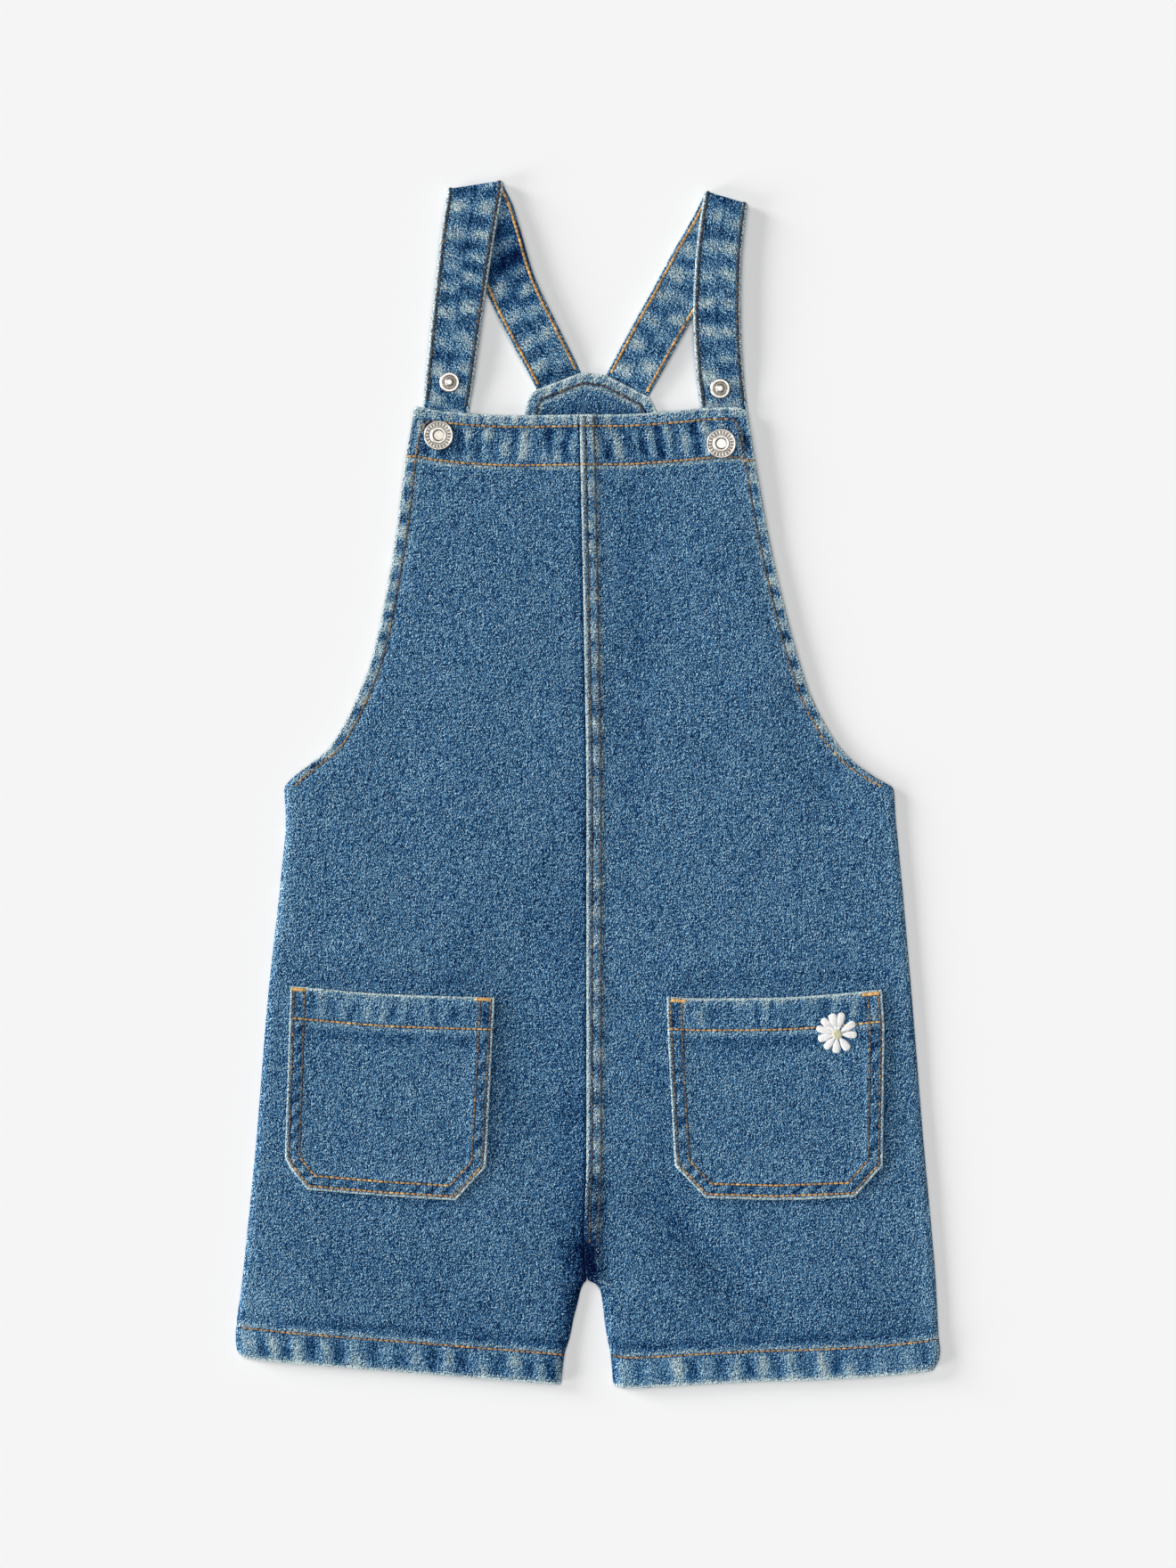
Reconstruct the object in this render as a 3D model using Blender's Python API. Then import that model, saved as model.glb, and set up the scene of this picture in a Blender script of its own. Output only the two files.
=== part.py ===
# A child's short denim overalls for about six years, laid flat on their back.
# Metres, +Z up. The strap folds point to +Y, the front faces +Z and the back lies on z = 0.
# Left and right are those of someone who looks down at the front.
# A level is the distance down the garment from the top of the strap folds.
from collections import namedtuple
from math import pi

import bmesh
import bpy
import numpy as np
from mathutils import Vector

MM = 0.001

# Cloth and how it is stacked
LENGTH = 609 * MM  # strap folds to hems
CLOTH = 1.3 * MM  # one wall of denim
BACK_CLOTH = 1.2 * MM
GAP = 0.3 * MM  # between pieces that are sewn together
LAY_GAP = 0.35 * MM  # under a piece that lies on a soft panel
FRONT_TOP = 4.2 * MM  # usual height of the front's outer face
SEAM_HEIGHT = BACK_CLOTH + GAP  # where the rounded side of the front meets the back
SIDE_FOLD = 4 * MM  # width of the rounding along side seams
INSEAM_FOLD = 6 * MM  # and along inseams
EDGE_ROUND = 0.8 * MM  # rounding of a turned edge
EDGE_DROP = 0.5 * MM

# Turned edges, by their width and by what their extra layers add
BAND_WIDTH = 25.6 * MM
BAND_EXTRA = 0.8 * MM
BAND_PUCKER = 0.12 * MM
HEM_WIDTH = 15 * MM
HEM_EXTRA = 0.9 * MM
HEM_PUCKERS = 10  # in each front panel, about 15 mm apart
HEM_PUCKER = 0.3 * MM
ARMHOLE_WIDTH = 6 * MM
ARMHOLE_EXTRA = 0.4 * MM
ARMHOLE_DROOP = 1.0 * MM
DROOP_WIDTH = 9 * MM
FELL_WIDTH = 8 * MM  # the lapped centre seam
FELL_EXTRA = 0.9 * MM

# Levels that the rows of a panel follow
BIB_TOP_LEVEL = 118 * MM
YOKE_TOP_LEVEL = 97.1 * MM
ARMPIT_LEVEL = 307 * MM
CROTCH_LEVEL = 554.5 * MM
HEM_LEVEL = 605 * MM
TOP_FADE = 90 * MM  # how far the curve of a top edge is followed by the rows below it
YOKE_FADE = 40 * MM
HEM_FADE = 60 * MM
BACK_INSET = 0.4 * MM  # the back's edges stay just inside the front's
BACK_HEM_INSET = 1 * MM
BACK_HEM_EXTRA = 0.6 * MM

# Where the lines of a panel's grid run, in millimetres
SIDE_LINES = (0, 0.5, 1.7, 4.0)  # in from a side edge
INSEAM_LINES = (0, 0.8, 2.6, 6.0)
FELL_LINES = (8.0, 9.4)  # where the lapped seam steps down
BAND_LINES = (0, 0.6, 6, 15, 24.6)  # down from the bib's top
BIB_LEVELS = (144.8, 262)  # first and last row of the plain bib
BIB_ROWS = 5
ARMHOLE_LEVELS = (278, 290, 298, 303, 307)
BODY_ROWS = 11
CROTCH_LEVELS = (556, 559, 564, 573)
HEM_LINES = (16, 14.2, 7, 0.6, 0)  # up from the hem
BACK_LEVELS = (122, 145, 187, 232, 268, 291, 303)
BACK_BODY_ROWS = 8
BACK_HEM_LINES = (16, 14.2, 3, 0)
FACING_LEVELS = (97.1, 97.7, 103, 111, 122)
POCKET_SIDE_LINES = (0, 0.6, 8, 10)
POCKET_MOUTH_LINES = (0, 0.6, 7, 15, 17)
POCKET_CORNER = 14.5  # height of the cut corners
POCKET_END_LINES = (9, 4.5, 0.6, 0)

# Pockets, facing, straps, metal and flower
POCKET_CLOTH = 1.3 * MM
POCKET_EDGE_WIDTH = 9 * MM
POCKET_EDGE_EXTRA = 0.45 * MM
POCKET_MOUTH_WIDTH = 16 * MM
POCKET_MOUTH_EXTRA = 0.5 * MM
FACING_BASE = SEAM_HEIGHT
FACING_CLOTH = 1.1 * MM
FACING_END_LEVEL = 133 * MM
STRAP_THICKNESS = 2 * MM
STRAP_EDGE = 0.5 * MM  # how far the rounded edge stands out of the flat face
STRAP_FOLD_RADIUS = 2.3 * MM  # at the middle of the strap's thickness
CAP_SIDES = 24
STUD_SIDES = 20
FLOWER_RADIUS = 10.6 * MM
FLOWER_BUTTON_RADIUS = 2.6 * MM
FLOWER_PETALS = 10
FLOWER_THICKNESS = 0.9 * MM

# Tables. Every number in them is in millimetres, but for turn, which is in degrees.
Side = namedtuple("Side", "level left right")
Edge = namedtuple("Edge", "x level")
Fold = namedtuple("Fold", "x1 level1 x2 level2 width rise")
Station = namedtuple("Station", "x level height turn width")
Ring = namedtuple("Ring", "radius height")

FRONT_SIDES = (  # how far the front reaches to each side
    Side(114.2, 86.4, 78.5),
    Side(116.4, 87.8, 80.1),
    Side(121.0, 88.4, 81.0),
    Side(142.5, 92.2, 84.6),
    Side(178.5, 96.8, 91.0),
    Side(214.5, 103.0, 99.0),
    Side(241.0, 109.0, 106.2),
    Side(260.0, 116.1, 112.5),
    Side(277.5, 124.6, 121.5),
    Side(287.0, 131.2, 128.0),
    Side(296.0, 142.2, 137.3),
    Side(302.0, 149.6, 146.2),
    Side(307.0, 153.2, 154.2),
    Side(322.0, 152.5, 155.3),
    Side(350.0, 154.8, 158.0),
    Side(412.0, 161.5, 163.4),
    Side(484.0, 167.4, 169.2),
    Side(556.0, 174.6, 175.5),
    Side(584.0, 177.8, 177.0),
    Side(590.0, 177.2, 177.7),
    Side(594.0, 174.2, 177.4),
    Side(600.2, 170.0, 174.6),
)
CENTRE_SEAM = (  # inner edges of the two front panels: one seam, then the two inseams
    Side(114.0, -4.5, -4.5),
    Side(223.0, -2.3, -2.3),
    Side(313.0, -0.9, -0.9),
    Side(493.0, -0.9, -0.9),
    Side(530.0, -2.0, -2.0),
    Side(549.0, -1.2, -1.2),
    Side(554.5, -0.6, 0.0),
    Side(556.5, -2.2, 3.6),
    Side(560.0, -3.6, 6.0),
    Side(566.0, -5.0, 7.2),
    Side(574.5, -7.2, 8.1),
    Side(583.5, -9.0, 9.5),
    Side(592.5, -11.7, 11.3),
    Side(608.0, -13.5, 12.6),
)
BIB_TOP_LEFT = (
    Edge(-86.4, 114.2),
    Edge(-75.0, 116.2),
    Edge(-58.5, 117.8),
    Edge(-36.0, 118.7),
    Edge(-4.5, 118.2),
)
BIB_TOP_RIGHT = (
    Edge(-4.5, 118.2),
    Edge(13.5, 118.2),
    Edge(45.0, 116.4),
    Edge(63.0, 114.8),
    Edge(76.0, 114.6),
    Edge(80.1, 116.4),
)
HEM_LEFT = (
    Edge(-174.2, 593.9),
    Edge(-150.0, 596.5),
    Edge(-81.0, 602.0),
    Edge(-40.0, 605.2),
    Edge(-13.5, 607.4),
)
HEM_RIGHT = (
    Edge(12.6, 607.9),
    Edge(20.0, 609.0),
    Edge(50.0, 607.6),
    Edge(90.0, 605.6),
    Edge(108.0, 605.2),
    Edge(150.0, 602.9),
    Edge(174.6, 600.2),
)
FOLDS = (  # soft troughs and ridges of the front, each along a line
    Fold(25.6, 150, 25.6, 350, 11, -0.7),
    Fold(-34, 400, -10, 545, 18, -1.0),
    Fold(31, 515, 86, 570, 12, -1.1),
    Fold(100, 268, 122, 320, 13, -0.8),
    Fold(-45, 210, -75, 350, 24, 0.6),
    Fold(62, 190, 90, 250, 20, 0.5),
    Fold(-118, 340, -112, 385, 16, 0.7),
    Fold(118, 545, 140, 580, 14, 0.6),
    Fold(-120, 560, -75, 575, 13, -0.6),
    Fold(48, 400, 30, 470, 14, 0.5),
)
YOKE_TOP = (  # top edge of the back, which shows between the straps
    Edge(-29.7, 108.8),
    Edge(-26.1, 105.6),
    Edge(-4.05, 97.1),
    Edge(0.0, 97.1),
    Edge(9.5, 98.4),
    Edge(30.6, 109.2),
)
BACK_SIDES = (  # armholes of the back, hidden by the bib, down to the side seams
    Side(108.8, 29.7, 30.6),
    Side(118.5, 32.0, 35.6),
    Side(142.5, 36.0, 39.5),
    Side(187.5, 49.0, 52.0),
    Side(232.5, 70.0, 73.0),
    Side(268.5, 99.0, 101.0),
    Side(291.0, 126.0, 124.0),
    Side(303.0, 146.0, 142.0),
    Side(307.5, 152.6, 153.0),
)
LEFT_POCKET_SIDES = (
    Side(406.2, -149.9, -46.8),
    Side(411.0, -150.0, -47.0),
    Side(492.6, -152.6, -51.1),
    Side(497.7, -150.2, -51.4),
    Side(508.8, -141.3, -61.7),
    Side(514.2, -137.0, -66.6),
)
LEFT_POCKET_TOP = (Edge(-149.9, 406.2), Edge(-98.0, 410.4), Edge(-46.8, 412.1))
LEFT_POCKET_BOTTOM = (Edge(-141.3, 508.8), Edge(-104.0, 512.0), Edge(-66.6, 514.2))
RIGHT_POCKET_SIDES = (
    Side(408.0, 39.6, 148.1),
    Side(428.0, 40.0, 149.4),
    Side(496.7, 43.7, 148.5),
    Side(497.6, 44.3, 147.8),
    Side(512.5, 59.0, 134.4),
    Side(514.0, 60.0, 133.0),
)
RIGHT_POCKET_TOP = (
    Edge(39.6, 411.6),
    Edge(58.0, 412.4),
    Edge(90.0, 412.2),
    Edge(118.0, 410.8),
    Edge(148.1, 408.0),
)
RIGHT_POCKET_BOTTOM = (Edge(59.0, 513.0), Edge(96.0, 514.0), Edge(134.4, 512.5))
STRAP_LEFT_FRONT = (  # from the end behind the bib up to the fold
    Station(-75.2, 142.5, 1.0, -7.3, 23.6),
    Station(-71.6, 114.6, 1.0, -7.3, 23.6),
    Station(-69.5, 99.8, 1.0, -7.3, 23.8),
    Station(-66.6, 77.3, 1.9, -7.0, 24.2),
    Station(-64.1, 58.4, 3.6, -6.0, 24.6),
    Station(-60.7, 32.3, 5.2, -3.0, 25.4),
    Station(-58.0, 14.3, 5.6, 3.0, 26.2),
    Station(-56.7, 5.6, 5.6, 8.5, 26.6),
)
STRAP_LEFT_BACK = (  # from the fold down to the yoke
    Station(-56.7, 5.6, 1.0, 8.5, 26.6),
    Station(-53.5, 14.3, 1.0, 12.0, 25.8),
    Station(-49.0, 26.0, 1.0, 15.0, 24.6),
    Station(-39.6, 53.0, 1.0, 21.0, 24.0),
    Station(-27.2, 78.2, 1.0, 26.0, 23.6),
    Station(-15.2, 100.9, 1.0, 21.2, 23.2),
)
STRAP_RIGHT_FRONT = (
    Station(72.0, 142.5, 1.0, 6.4, 23.6),
    Station(68.9, 116.4, 1.0, 6.4, 23.6),
    Station(66.6, 97.5, 1.0, 5.0, 23.8),
    Station(65.5, 81.8, 1.9, 3.0, 23.9),
    Station(65.0, 64.7, 3.6, 0.0, 24.0),
    Station(65.7, 42.2, 5.0, -4.0, 23.4),
    Station(67.5, 23.3, 5.6, -11.0, 23.0),
    Station(69.0, 11.8, 5.6, -17.0, 22.8),
)
STRAP_RIGHT_BACK = (
    Station(69.0, 11.8, 1.0, -17.0, 22.8),
    Station(64.4, 22.8, 1.0, -22.0, 23.2),
    Station(54.0, 42.2, 1.0, -27.0, 23.6),
    Station(42.5, 63.8, 1.0, -28.0, 23.6),
    Station(20.2, 103.5, 1.0, -27.1, 23.4),
)
CAP_PROFILE = (  # from the middle out: dished disc, inner ring, flat ring, rolled rim
    Ring(0.0, 1.15),
    Ring(3.0, 1.25),
    Ring(3.5, 1.7),
    Ring(4.1, 1.7),
    Ring(4.5, 1.3),
    Ring(6.2, 1.25),
    Ring(6.7, 1.6),
    Ring(7.2, 1.45),
    Ring(7.5, 0.8),
    Ring(7.4, 0.0),
)
STUD_PROFILE = (  # from the middle out: stud, dish and pressed ring
    Ring(0.0, 1.9),
    Ring(1.2, 1.75),
    Ring(1.9, 1.2),
    Ring(2.0, 0.5),
    Ring(3.3, 0.5),
    Ring(3.8, 1.0),
    Ring(4.6, 1.05),
    Ring(5.1, 0.6),
    Ring(5.2, 0.0),
)
CAPS = {"left": Edge(-75.2, 129.0), "right": Edge(67.1, 133.1)}
STUDS = {"left": Edge(-69.8, 102.0), "right": Edge(66.6, 105.2)}
FLOWER = Edge(125.5, 430.5)


def column(table, name):
    """One column of a table, in metres."""
    return np.array([getattr(row, name) for row in table], float) * MM


def curve(at, stations, values):
    """A smooth curve through the values, read at any place. It never swings past a value."""
    step = np.diff(stations)
    slope = np.diff(values) / step
    product = slope[:-1] * slope[1:]
    total = np.where(product > 0, slope[:-1] + slope[1:], 1.0)
    tangent = np.concatenate([slope[:1], np.where(product > 0, 2 * product / total, 0), slope[-1:]])
    k = np.clip(np.searchsorted(stations, at, side="right") - 1, 0, len(step) - 1)
    t = np.clip((at - stations[k]) / step[k], 0, 1)
    start = values[k] * (1 + 2 * t) * (1 - t) ** 2 + step[k] * tangent[k] * t * (1 - t) ** 2
    end = values[k + 1] * t**2 * (3 - 2 * t) + step[k] * tangent[k + 1] * t**2 * (t - 1)
    return start + end


def ease(value, start, end):
    """0 before start, 1 after end, with a soft step between them."""
    t = np.clip((value - start) / (end - start), 0, 1)
    return t * t * (3 - 2 * t)


def quarter(distance, width):
    """0 at an edge and 1 from width inwards, rising along a quarter circle."""
    return np.sqrt(1 - (1 - np.clip(distance / width, 0, 1)) ** 2)


def spacing(first, steps, last):
    """Lines of a grid, as a share of the whole and a distance. The steps between both ends are equal."""
    middle = np.linspace(0, 1, steps + 1)
    first = np.array(first) * MM
    last = np.array(last) * MM
    share = np.concatenate([np.zeros(len(first) - 1), middle, np.ones(len(last) - 1)])
    between = (1 - middle) * first[-1] - middle * last[-1]
    return share, np.concatenate([first[:-1], between, -last[-2::-1]])


def edge_line(table, straight=False):
    """The level of a top or bottom edge, as a function of x."""
    x, level = column(table, "x"), column(table, "level")
    if straight:
        return lambda at: np.interp(at, x, level)
    return lambda at: curve(at, x, level)


def side_line(table, name, sign=1, shift=0.0, straight=False):
    """The x of a side edge, as a function of the level."""
    level, x = column(table, "level"), sign * column(table, name) + shift
    if straight:
        return lambda at: np.interp(at, level, x)
    return lambda at: curve(at, level, x)


def grid(left, right, top, bottom, ends, across, rows):
    """x and level of a panel's points. Columns run from edge to edge; rows follow both end edges."""
    share, distance = across
    level, top_follow, bottom_follow = rows
    top_left, top_right, bottom_left, bottom_right = ends
    top_x = top_left + share * (top_right - top_left) + distance
    bottom_x = bottom_left + share * (bottom_right - bottom_left) + distance
    top_shift = (top(top_x) - level[0])[None, :] * top_follow[:, None]
    bottom_shift = (bottom(bottom_x) - level[-1])[None, :] * bottom_follow[:, None]
    down = level[:, None] + top_shift + bottom_shift
    edge = left(down)
    return edge + share * (right(down) - edge) + distance, down


def panel_rows(levels, top_fade, bottom_fade):
    """Row levels with how far each row follows the top edge and the bottom edge."""
    levels = np.array(levels)
    follow_top = 1 - ease(levels, levels[0] + top_fade[0], levels[0] + top_fade[1])
    follow_bottom = ease(levels, levels[-1] - bottom_fade[1], levels[-1] - bottom_fade[0])
    return levels, follow_top, follow_bottom


def end_x(top, bottom):
    """The x of a panel's four corners, from its top and bottom tables."""
    return top[0].x * MM, top[-1].x * MM, bottom[0].x * MM, bottom[-1].x * MM


def lie(x, down):
    """Height of the front's outer face where nothing is turned or sewn on, with its soft folds."""
    z = np.full(np.shape(x), FRONT_TOP)
    for fold in FOLDS:
        x1, level1, x2, level2, width, rise = (value * MM for value in fold)
        run_x, run_y = x2 - x1, level2 - level1
        along = ((x - x1) * run_x + (down - level1) * run_y) / (run_x**2 + run_y**2)
        along = np.clip(along, 0, 1)
        away = np.hypot(x - x1 - along * run_x, down - level1 - along * run_y)
        z = z + rise * np.exp(-((away / width) ** 2))
    return z


def points(x, down, z):
    return np.stack([x, LENGTH / 2 - down, z], axis=-1)


def finish(name, mesh, slot):
    """Names the object, turns its faces outwards, shades it smooth and gives it its material."""
    bm = bmesh.new()
    bm.from_mesh(mesh)
    bmesh.ops.remove_doubles(bm, verts=bm.verts, dist=1e-7)
    bmesh.ops.recalc_face_normals(bm, faces=bm.faces)
    bm.to_mesh(mesh)
    bm.free()
    mesh.shade_smooth()
    mesh.set_sharp_from_angle(angle=pi / 5)
    mesh.materials.append(MATERIALS[slot])
    piece = bpy.data.objects.new(name, mesh)
    bpy.context.collection.objects.link(piece)
    piece.parent = garment
    return piece


def wall(name, outer, inner, slot):
    """A closed wall between two grids of points, with a rim round their four edges."""
    rows, columns = outer.shape[:2]
    index = np.arange(rows * columns).reshape(rows, columns)
    skin = np.stack([index[:-1, :-1], index[:-1, 1:], index[1:, 1:], index[1:, :-1]], axis=-1).reshape(-1, 4)
    lining = skin[:, ::-1] + index.size
    edge = np.concatenate([index[0, :-1], index[:-1, -1], index[-1, :0:-1], index[:0:-1, 0]])
    following = np.roll(edge, -1)
    rim = np.stack([edge, edge + index.size, following + index.size, following], axis=-1)
    mesh = bpy.data.meshes.new(name)
    vertices = np.concatenate([outer.reshape(-1, 3), inner.reshape(-1, 3)])
    mesh.from_pydata(vertices.tolist(), [], np.concatenate([skin, lining, rim]).tolist())
    return finish(name, mesh, slot)


def ring_skin(rings):
    """Faces between rings of points, each ring closed on itself."""
    count, sides = rings.shape
    following = np.roll(rings, -1, axis=1)
    return np.stack([rings[:-1], following[:-1], following[1:], rings[1:]], axis=-1).reshape(-1, 4)


def front_panel(name, on_left):
    """Bib and leg in one: turned band, armhole and hem, a rounded side seam and inseam."""
    seam_name = "left" if on_left else "right"
    centre = side_line(CENTRE_SEAM, seam_name, shift=-GAP / 2 if on_left else GAP / 2)
    side = side_line(FRONT_SIDES, seam_name, sign=-1 if on_left else 1)
    top_table = BIB_TOP_LEFT if on_left else BIB_TOP_RIGHT
    hem_table = HEM_LEFT if on_left else HEM_RIGHT
    steps = 2 * HEM_PUCKERS
    if on_left:
        across = spacing(SIDE_LINES, steps, INSEAM_LINES)
    else:
        across = spacing(INSEAM_LINES + FELL_LINES, steps, SIDE_LINES)
    left, right = (side, centre) if on_left else (centre, side)
    levels = np.concatenate([
        BIB_TOP_LEVEL + np.array(BAND_LINES) * MM,
        np.linspace(*BIB_LEVELS, BIB_ROWS) * MM,
        np.array(ARMHOLE_LEVELS) * MM,
        np.linspace(ARMPIT_LEVEL, CROTCH_LEVEL, BODY_ROWS)[1:],
        np.array(CROTCH_LEVELS) * MM,
        HEM_LEVEL - np.array(HEM_LINES) * MM,
    ])
    rows = panel_rows(levels, (BAND_WIDTH, TOP_FADE), (HEM_WIDTH + MM, HEM_FADE))
    ends = end_x(top_table, hem_table)
    x, down = grid(left, right, edge_line(top_table), edge_line(hem_table), ends, across, rows)
    from_side = np.abs(x - side(down))
    from_centre = np.abs(x - centre(down))
    from_top = down - down[:1]
    from_hem = down[-1:] - down

    # Turned edges and the lapped seam stand up from the single wall, with puckers between stitches.
    open_side = 1 - ease(down, ARMPIT_LEVEL - 11 * MM, ARMPIT_LEVEL + 5 * MM)
    open_centre = 1 - ease(down, CROTCH_LEVEL - MM, CROTCH_LEVEL + 6 * MM)
    extra = BAND_EXTRA * (1 - ease(from_top, BAND_WIDTH - MM, BAND_WIDTH + MM))
    extra = extra + HEM_EXTRA * (1 - ease(from_hem, HEM_WIDTH - MM, HEM_WIDTH + MM))
    turned = ARMHOLE_EXTRA * open_side * (1 - ease(from_side, ARMHOLE_WIDTH - MM, ARMHOLE_WIDTH + MM))
    extra = np.maximum(extra, turned)
    if not on_left:
        extra = extra + FELL_EXTRA * open_centre * (1 - ease(from_centre, FELL_WIDTH, FELL_WIDTH + MM))
    wave = np.cos(pi * np.arange(x.shape[1]))[None, :]
    in_hem = (from_hem > MM / 2) & (from_hem < HEM_WIDTH)
    in_band = (from_top > MM) & (from_top < BAND_WIDTH - MM)
    extra = extra + wave * (HEM_PUCKER * in_hem + BAND_PUCKER * in_band)

    in_droop = ease(down, 150 * MM, 185 * MM) * open_side
    droop = ARMHOLE_DROOP * in_droop * np.exp(-((from_side / DROOP_WIDTH) ** 2))
    face = lie(x, down) - droop
    lining = face - CLOTH
    face = face + extra
    edge_distance = np.minimum(from_top, from_hem)
    edge_distance = np.where(open_side > 0, np.minimum(edge_distance, from_side), edge_distance)
    face = face - EDGE_DROP * (1 - quarter(edge_distance, EDGE_ROUND))

    # Side seam and inseam round down to the back, and the inside follows one wall further in.
    fold = np.maximum(
        (1 - open_side) * (1 - quarter(from_side, SIDE_FOLD)),
        (1 - open_centre) * (1 - quarter(from_centre, INSEAM_FOLD)),
    )
    inward = CLOTH * ((1 - open_side) * np.clip(1 - from_side / SIDE_FOLD, 0, 1))
    inward = inward - CLOTH * ((1 - open_centre) * np.clip(1 - from_centre / INSEAM_FOLD, 0, 1))
    inward = inward if on_left else -inward
    face = face - fold * (face - SEAM_HEIGHT)
    lining = lining - fold * (lining - SEAM_HEIGHT)
    return wall(name, points(x, down, face), points(x + inward, down, lining), "denim")


def back_panel(name, on_left):
    """Plain hidden half of the back, flat on the floor, with a turned hem."""
    sign = -1 if on_left else 1
    seam_name = "left" if on_left else "right"
    below = [row for row in FRONT_SIDES if row.level > 310]
    level = np.concatenate([column(BACK_SIDES, "level"), column(below, "level")])
    reach = [column(BACK_SIDES, seam_name), column(below, seam_name) - BACK_INSET]
    reach = sign * np.concatenate(reach)
    legs = [row for row in CENTRE_SEAM if row.level > 555]
    leg_level = np.concatenate([np.array([97, 553]) * MM, column(legs, "level")])
    leg = column(legs, seam_name) + sign * BACK_INSET
    leg = np.concatenate([np.full(2, sign * GAP / 2), leg])
    hem_table = HEM_LEFT if on_left else HEM_RIGHT
    hem = edge_line(hem_table)
    yoke = [row for row in YOKE_TOP if row.x * sign >= 0]
    ends = end_x(yoke, hem_table)
    levels = np.concatenate([
        [YOKE_TOP_LEVEL, YOKE_TOP_LEVEL + 10 * MM],
        np.array(BACK_LEVELS) * MM,
        np.linspace(ARMPIT_LEVEL, CROTCH_LEVEL, BACK_BODY_ROWS),
        np.array(CROTCH_LEVELS) * MM,
        HEM_LEVEL - np.array(BACK_HEM_LINES) * MM,
    ])
    rows = panel_rows(levels, (2 * MM, YOKE_FADE), (HEM_WIDTH + MM, HEM_FADE))
    across = spacing((0, 4), 8, (0, 4))
    sides = (lambda at: curve(at, level, reach)), (lambda at: curve(at, leg_level, leg))
    left, right = sides if on_left else sides[::-1]
    x, down = grid(
        left, right, edge_line(YOKE_TOP, straight=True), lambda at: hem(at) - BACK_HEM_INSET,
        ends, across, rows,
    )
    from_hem = down[-1:] - down
    top = BACK_CLOTH + BACK_HEM_EXTRA * (1 - ease(from_hem, HEM_WIDTH - MM, HEM_WIDTH + MM))
    edge = np.minimum(np.abs(x - left(down)), np.abs(x - right(down))) < MM / 10
    top = np.where(edge, BACK_CLOTH, top)
    return wall(name, points(x, down, top), points(x, down, np.zeros_like(top)), "denim")


def back_facing():
    """Inside of the back's top edge. It ends behind the bib."""
    end = FACING_END_LEVEL / MM
    sides = [row for row in BACK_SIDES if row.level < end]
    left = side_line(sides, "left", sign=-1)
    right = side_line(sides, "right")
    bottom = (Edge(-33.0, end), Edge(36.5, end))
    levels = np.array([*FACING_LEVELS, end]) * MM
    rows = panel_rows(levels, (2 * MM, 30 * MM), (MM, 2 * MM))
    across = spacing((0, 0.6), 12, (0, 0.6))
    x, down = grid(
        left, right, edge_line(YOKE_TOP, straight=True), edge_line(bottom, straight=True),
        end_x(YOKE_TOP, bottom), across, rows,
    )
    edge = np.minimum.reduce([down - down[:1], x - left(down), right(down) - x])
    top = FACING_BASE + FACING_CLOTH - EDGE_DROP / 2 * (1 - quarter(edge, EDGE_ROUND))
    low = np.full_like(top, FACING_BASE)
    return wall("back_facing", points(x, down, top), points(x, down, low), "denim_inside")


def pocket(name, sides, top, bottom):
    """Patch pocket made from the front's face, moved out, with turned edges and a wider mouth."""
    left = side_line(sides, "left", straight=True)
    right = side_line(sides, "right", straight=True)
    top_level, bottom_level = top[1].level, bottom[1].level
    plain = np.linspace(top_level + POCKET_MOUTH_LINES[-1], bottom_level - POCKET_CORNER, 6)
    levels = np.concatenate([
        top_level + np.array(POCKET_MOUTH_LINES),
        plain[1:],
        bottom_level - np.array(POCKET_END_LINES),
    ]) * MM
    rows = panel_rows(levels, (20 * MM, 90 * MM), (12 * MM, 60 * MM))
    across = spacing(POCKET_SIDE_LINES, 8, POCKET_SIDE_LINES)
    x, down = grid(left, right, edge_line(top), edge_line(bottom), end_x(top, bottom), across, rows)
    edge = np.minimum.reduce([x - left(down), right(down) - x, down[-1:] - down])
    from_top = down - down[:1]
    low = lie(x, down) + LAY_GAP
    turned = POCKET_EDGE_EXTRA * (1 - ease(edge, POCKET_EDGE_WIDTH - MM, POCKET_EDGE_WIDTH + MM))
    mouth = POCKET_MOUTH_EXTRA * (1 - ease(from_top, POCKET_MOUTH_WIDTH - MM, POCKET_MOUTH_WIDTH + MM))
    face = low + POCKET_CLOTH + np.maximum(turned, mouth)
    face = face - EDGE_DROP * (1 - quarter(np.minimum(edge, from_top), EDGE_ROUND))
    return wall(name, points(x, down, face), points(x, down, low), "denim")


def run(table, count):
    """Stations along a strap, read from a smooth curve through its table."""
    place = np.stack([column(table, name) for name in Station._fields], axis=-1)
    length = np.concatenate([[0], np.cumsum(np.hypot(*np.diff(place[:, :2], axis=0).T))])
    at = np.linspace(0, length[-1], count)
    return np.stack([curve(at, length, values) for values in place.T], axis=-1)


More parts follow.
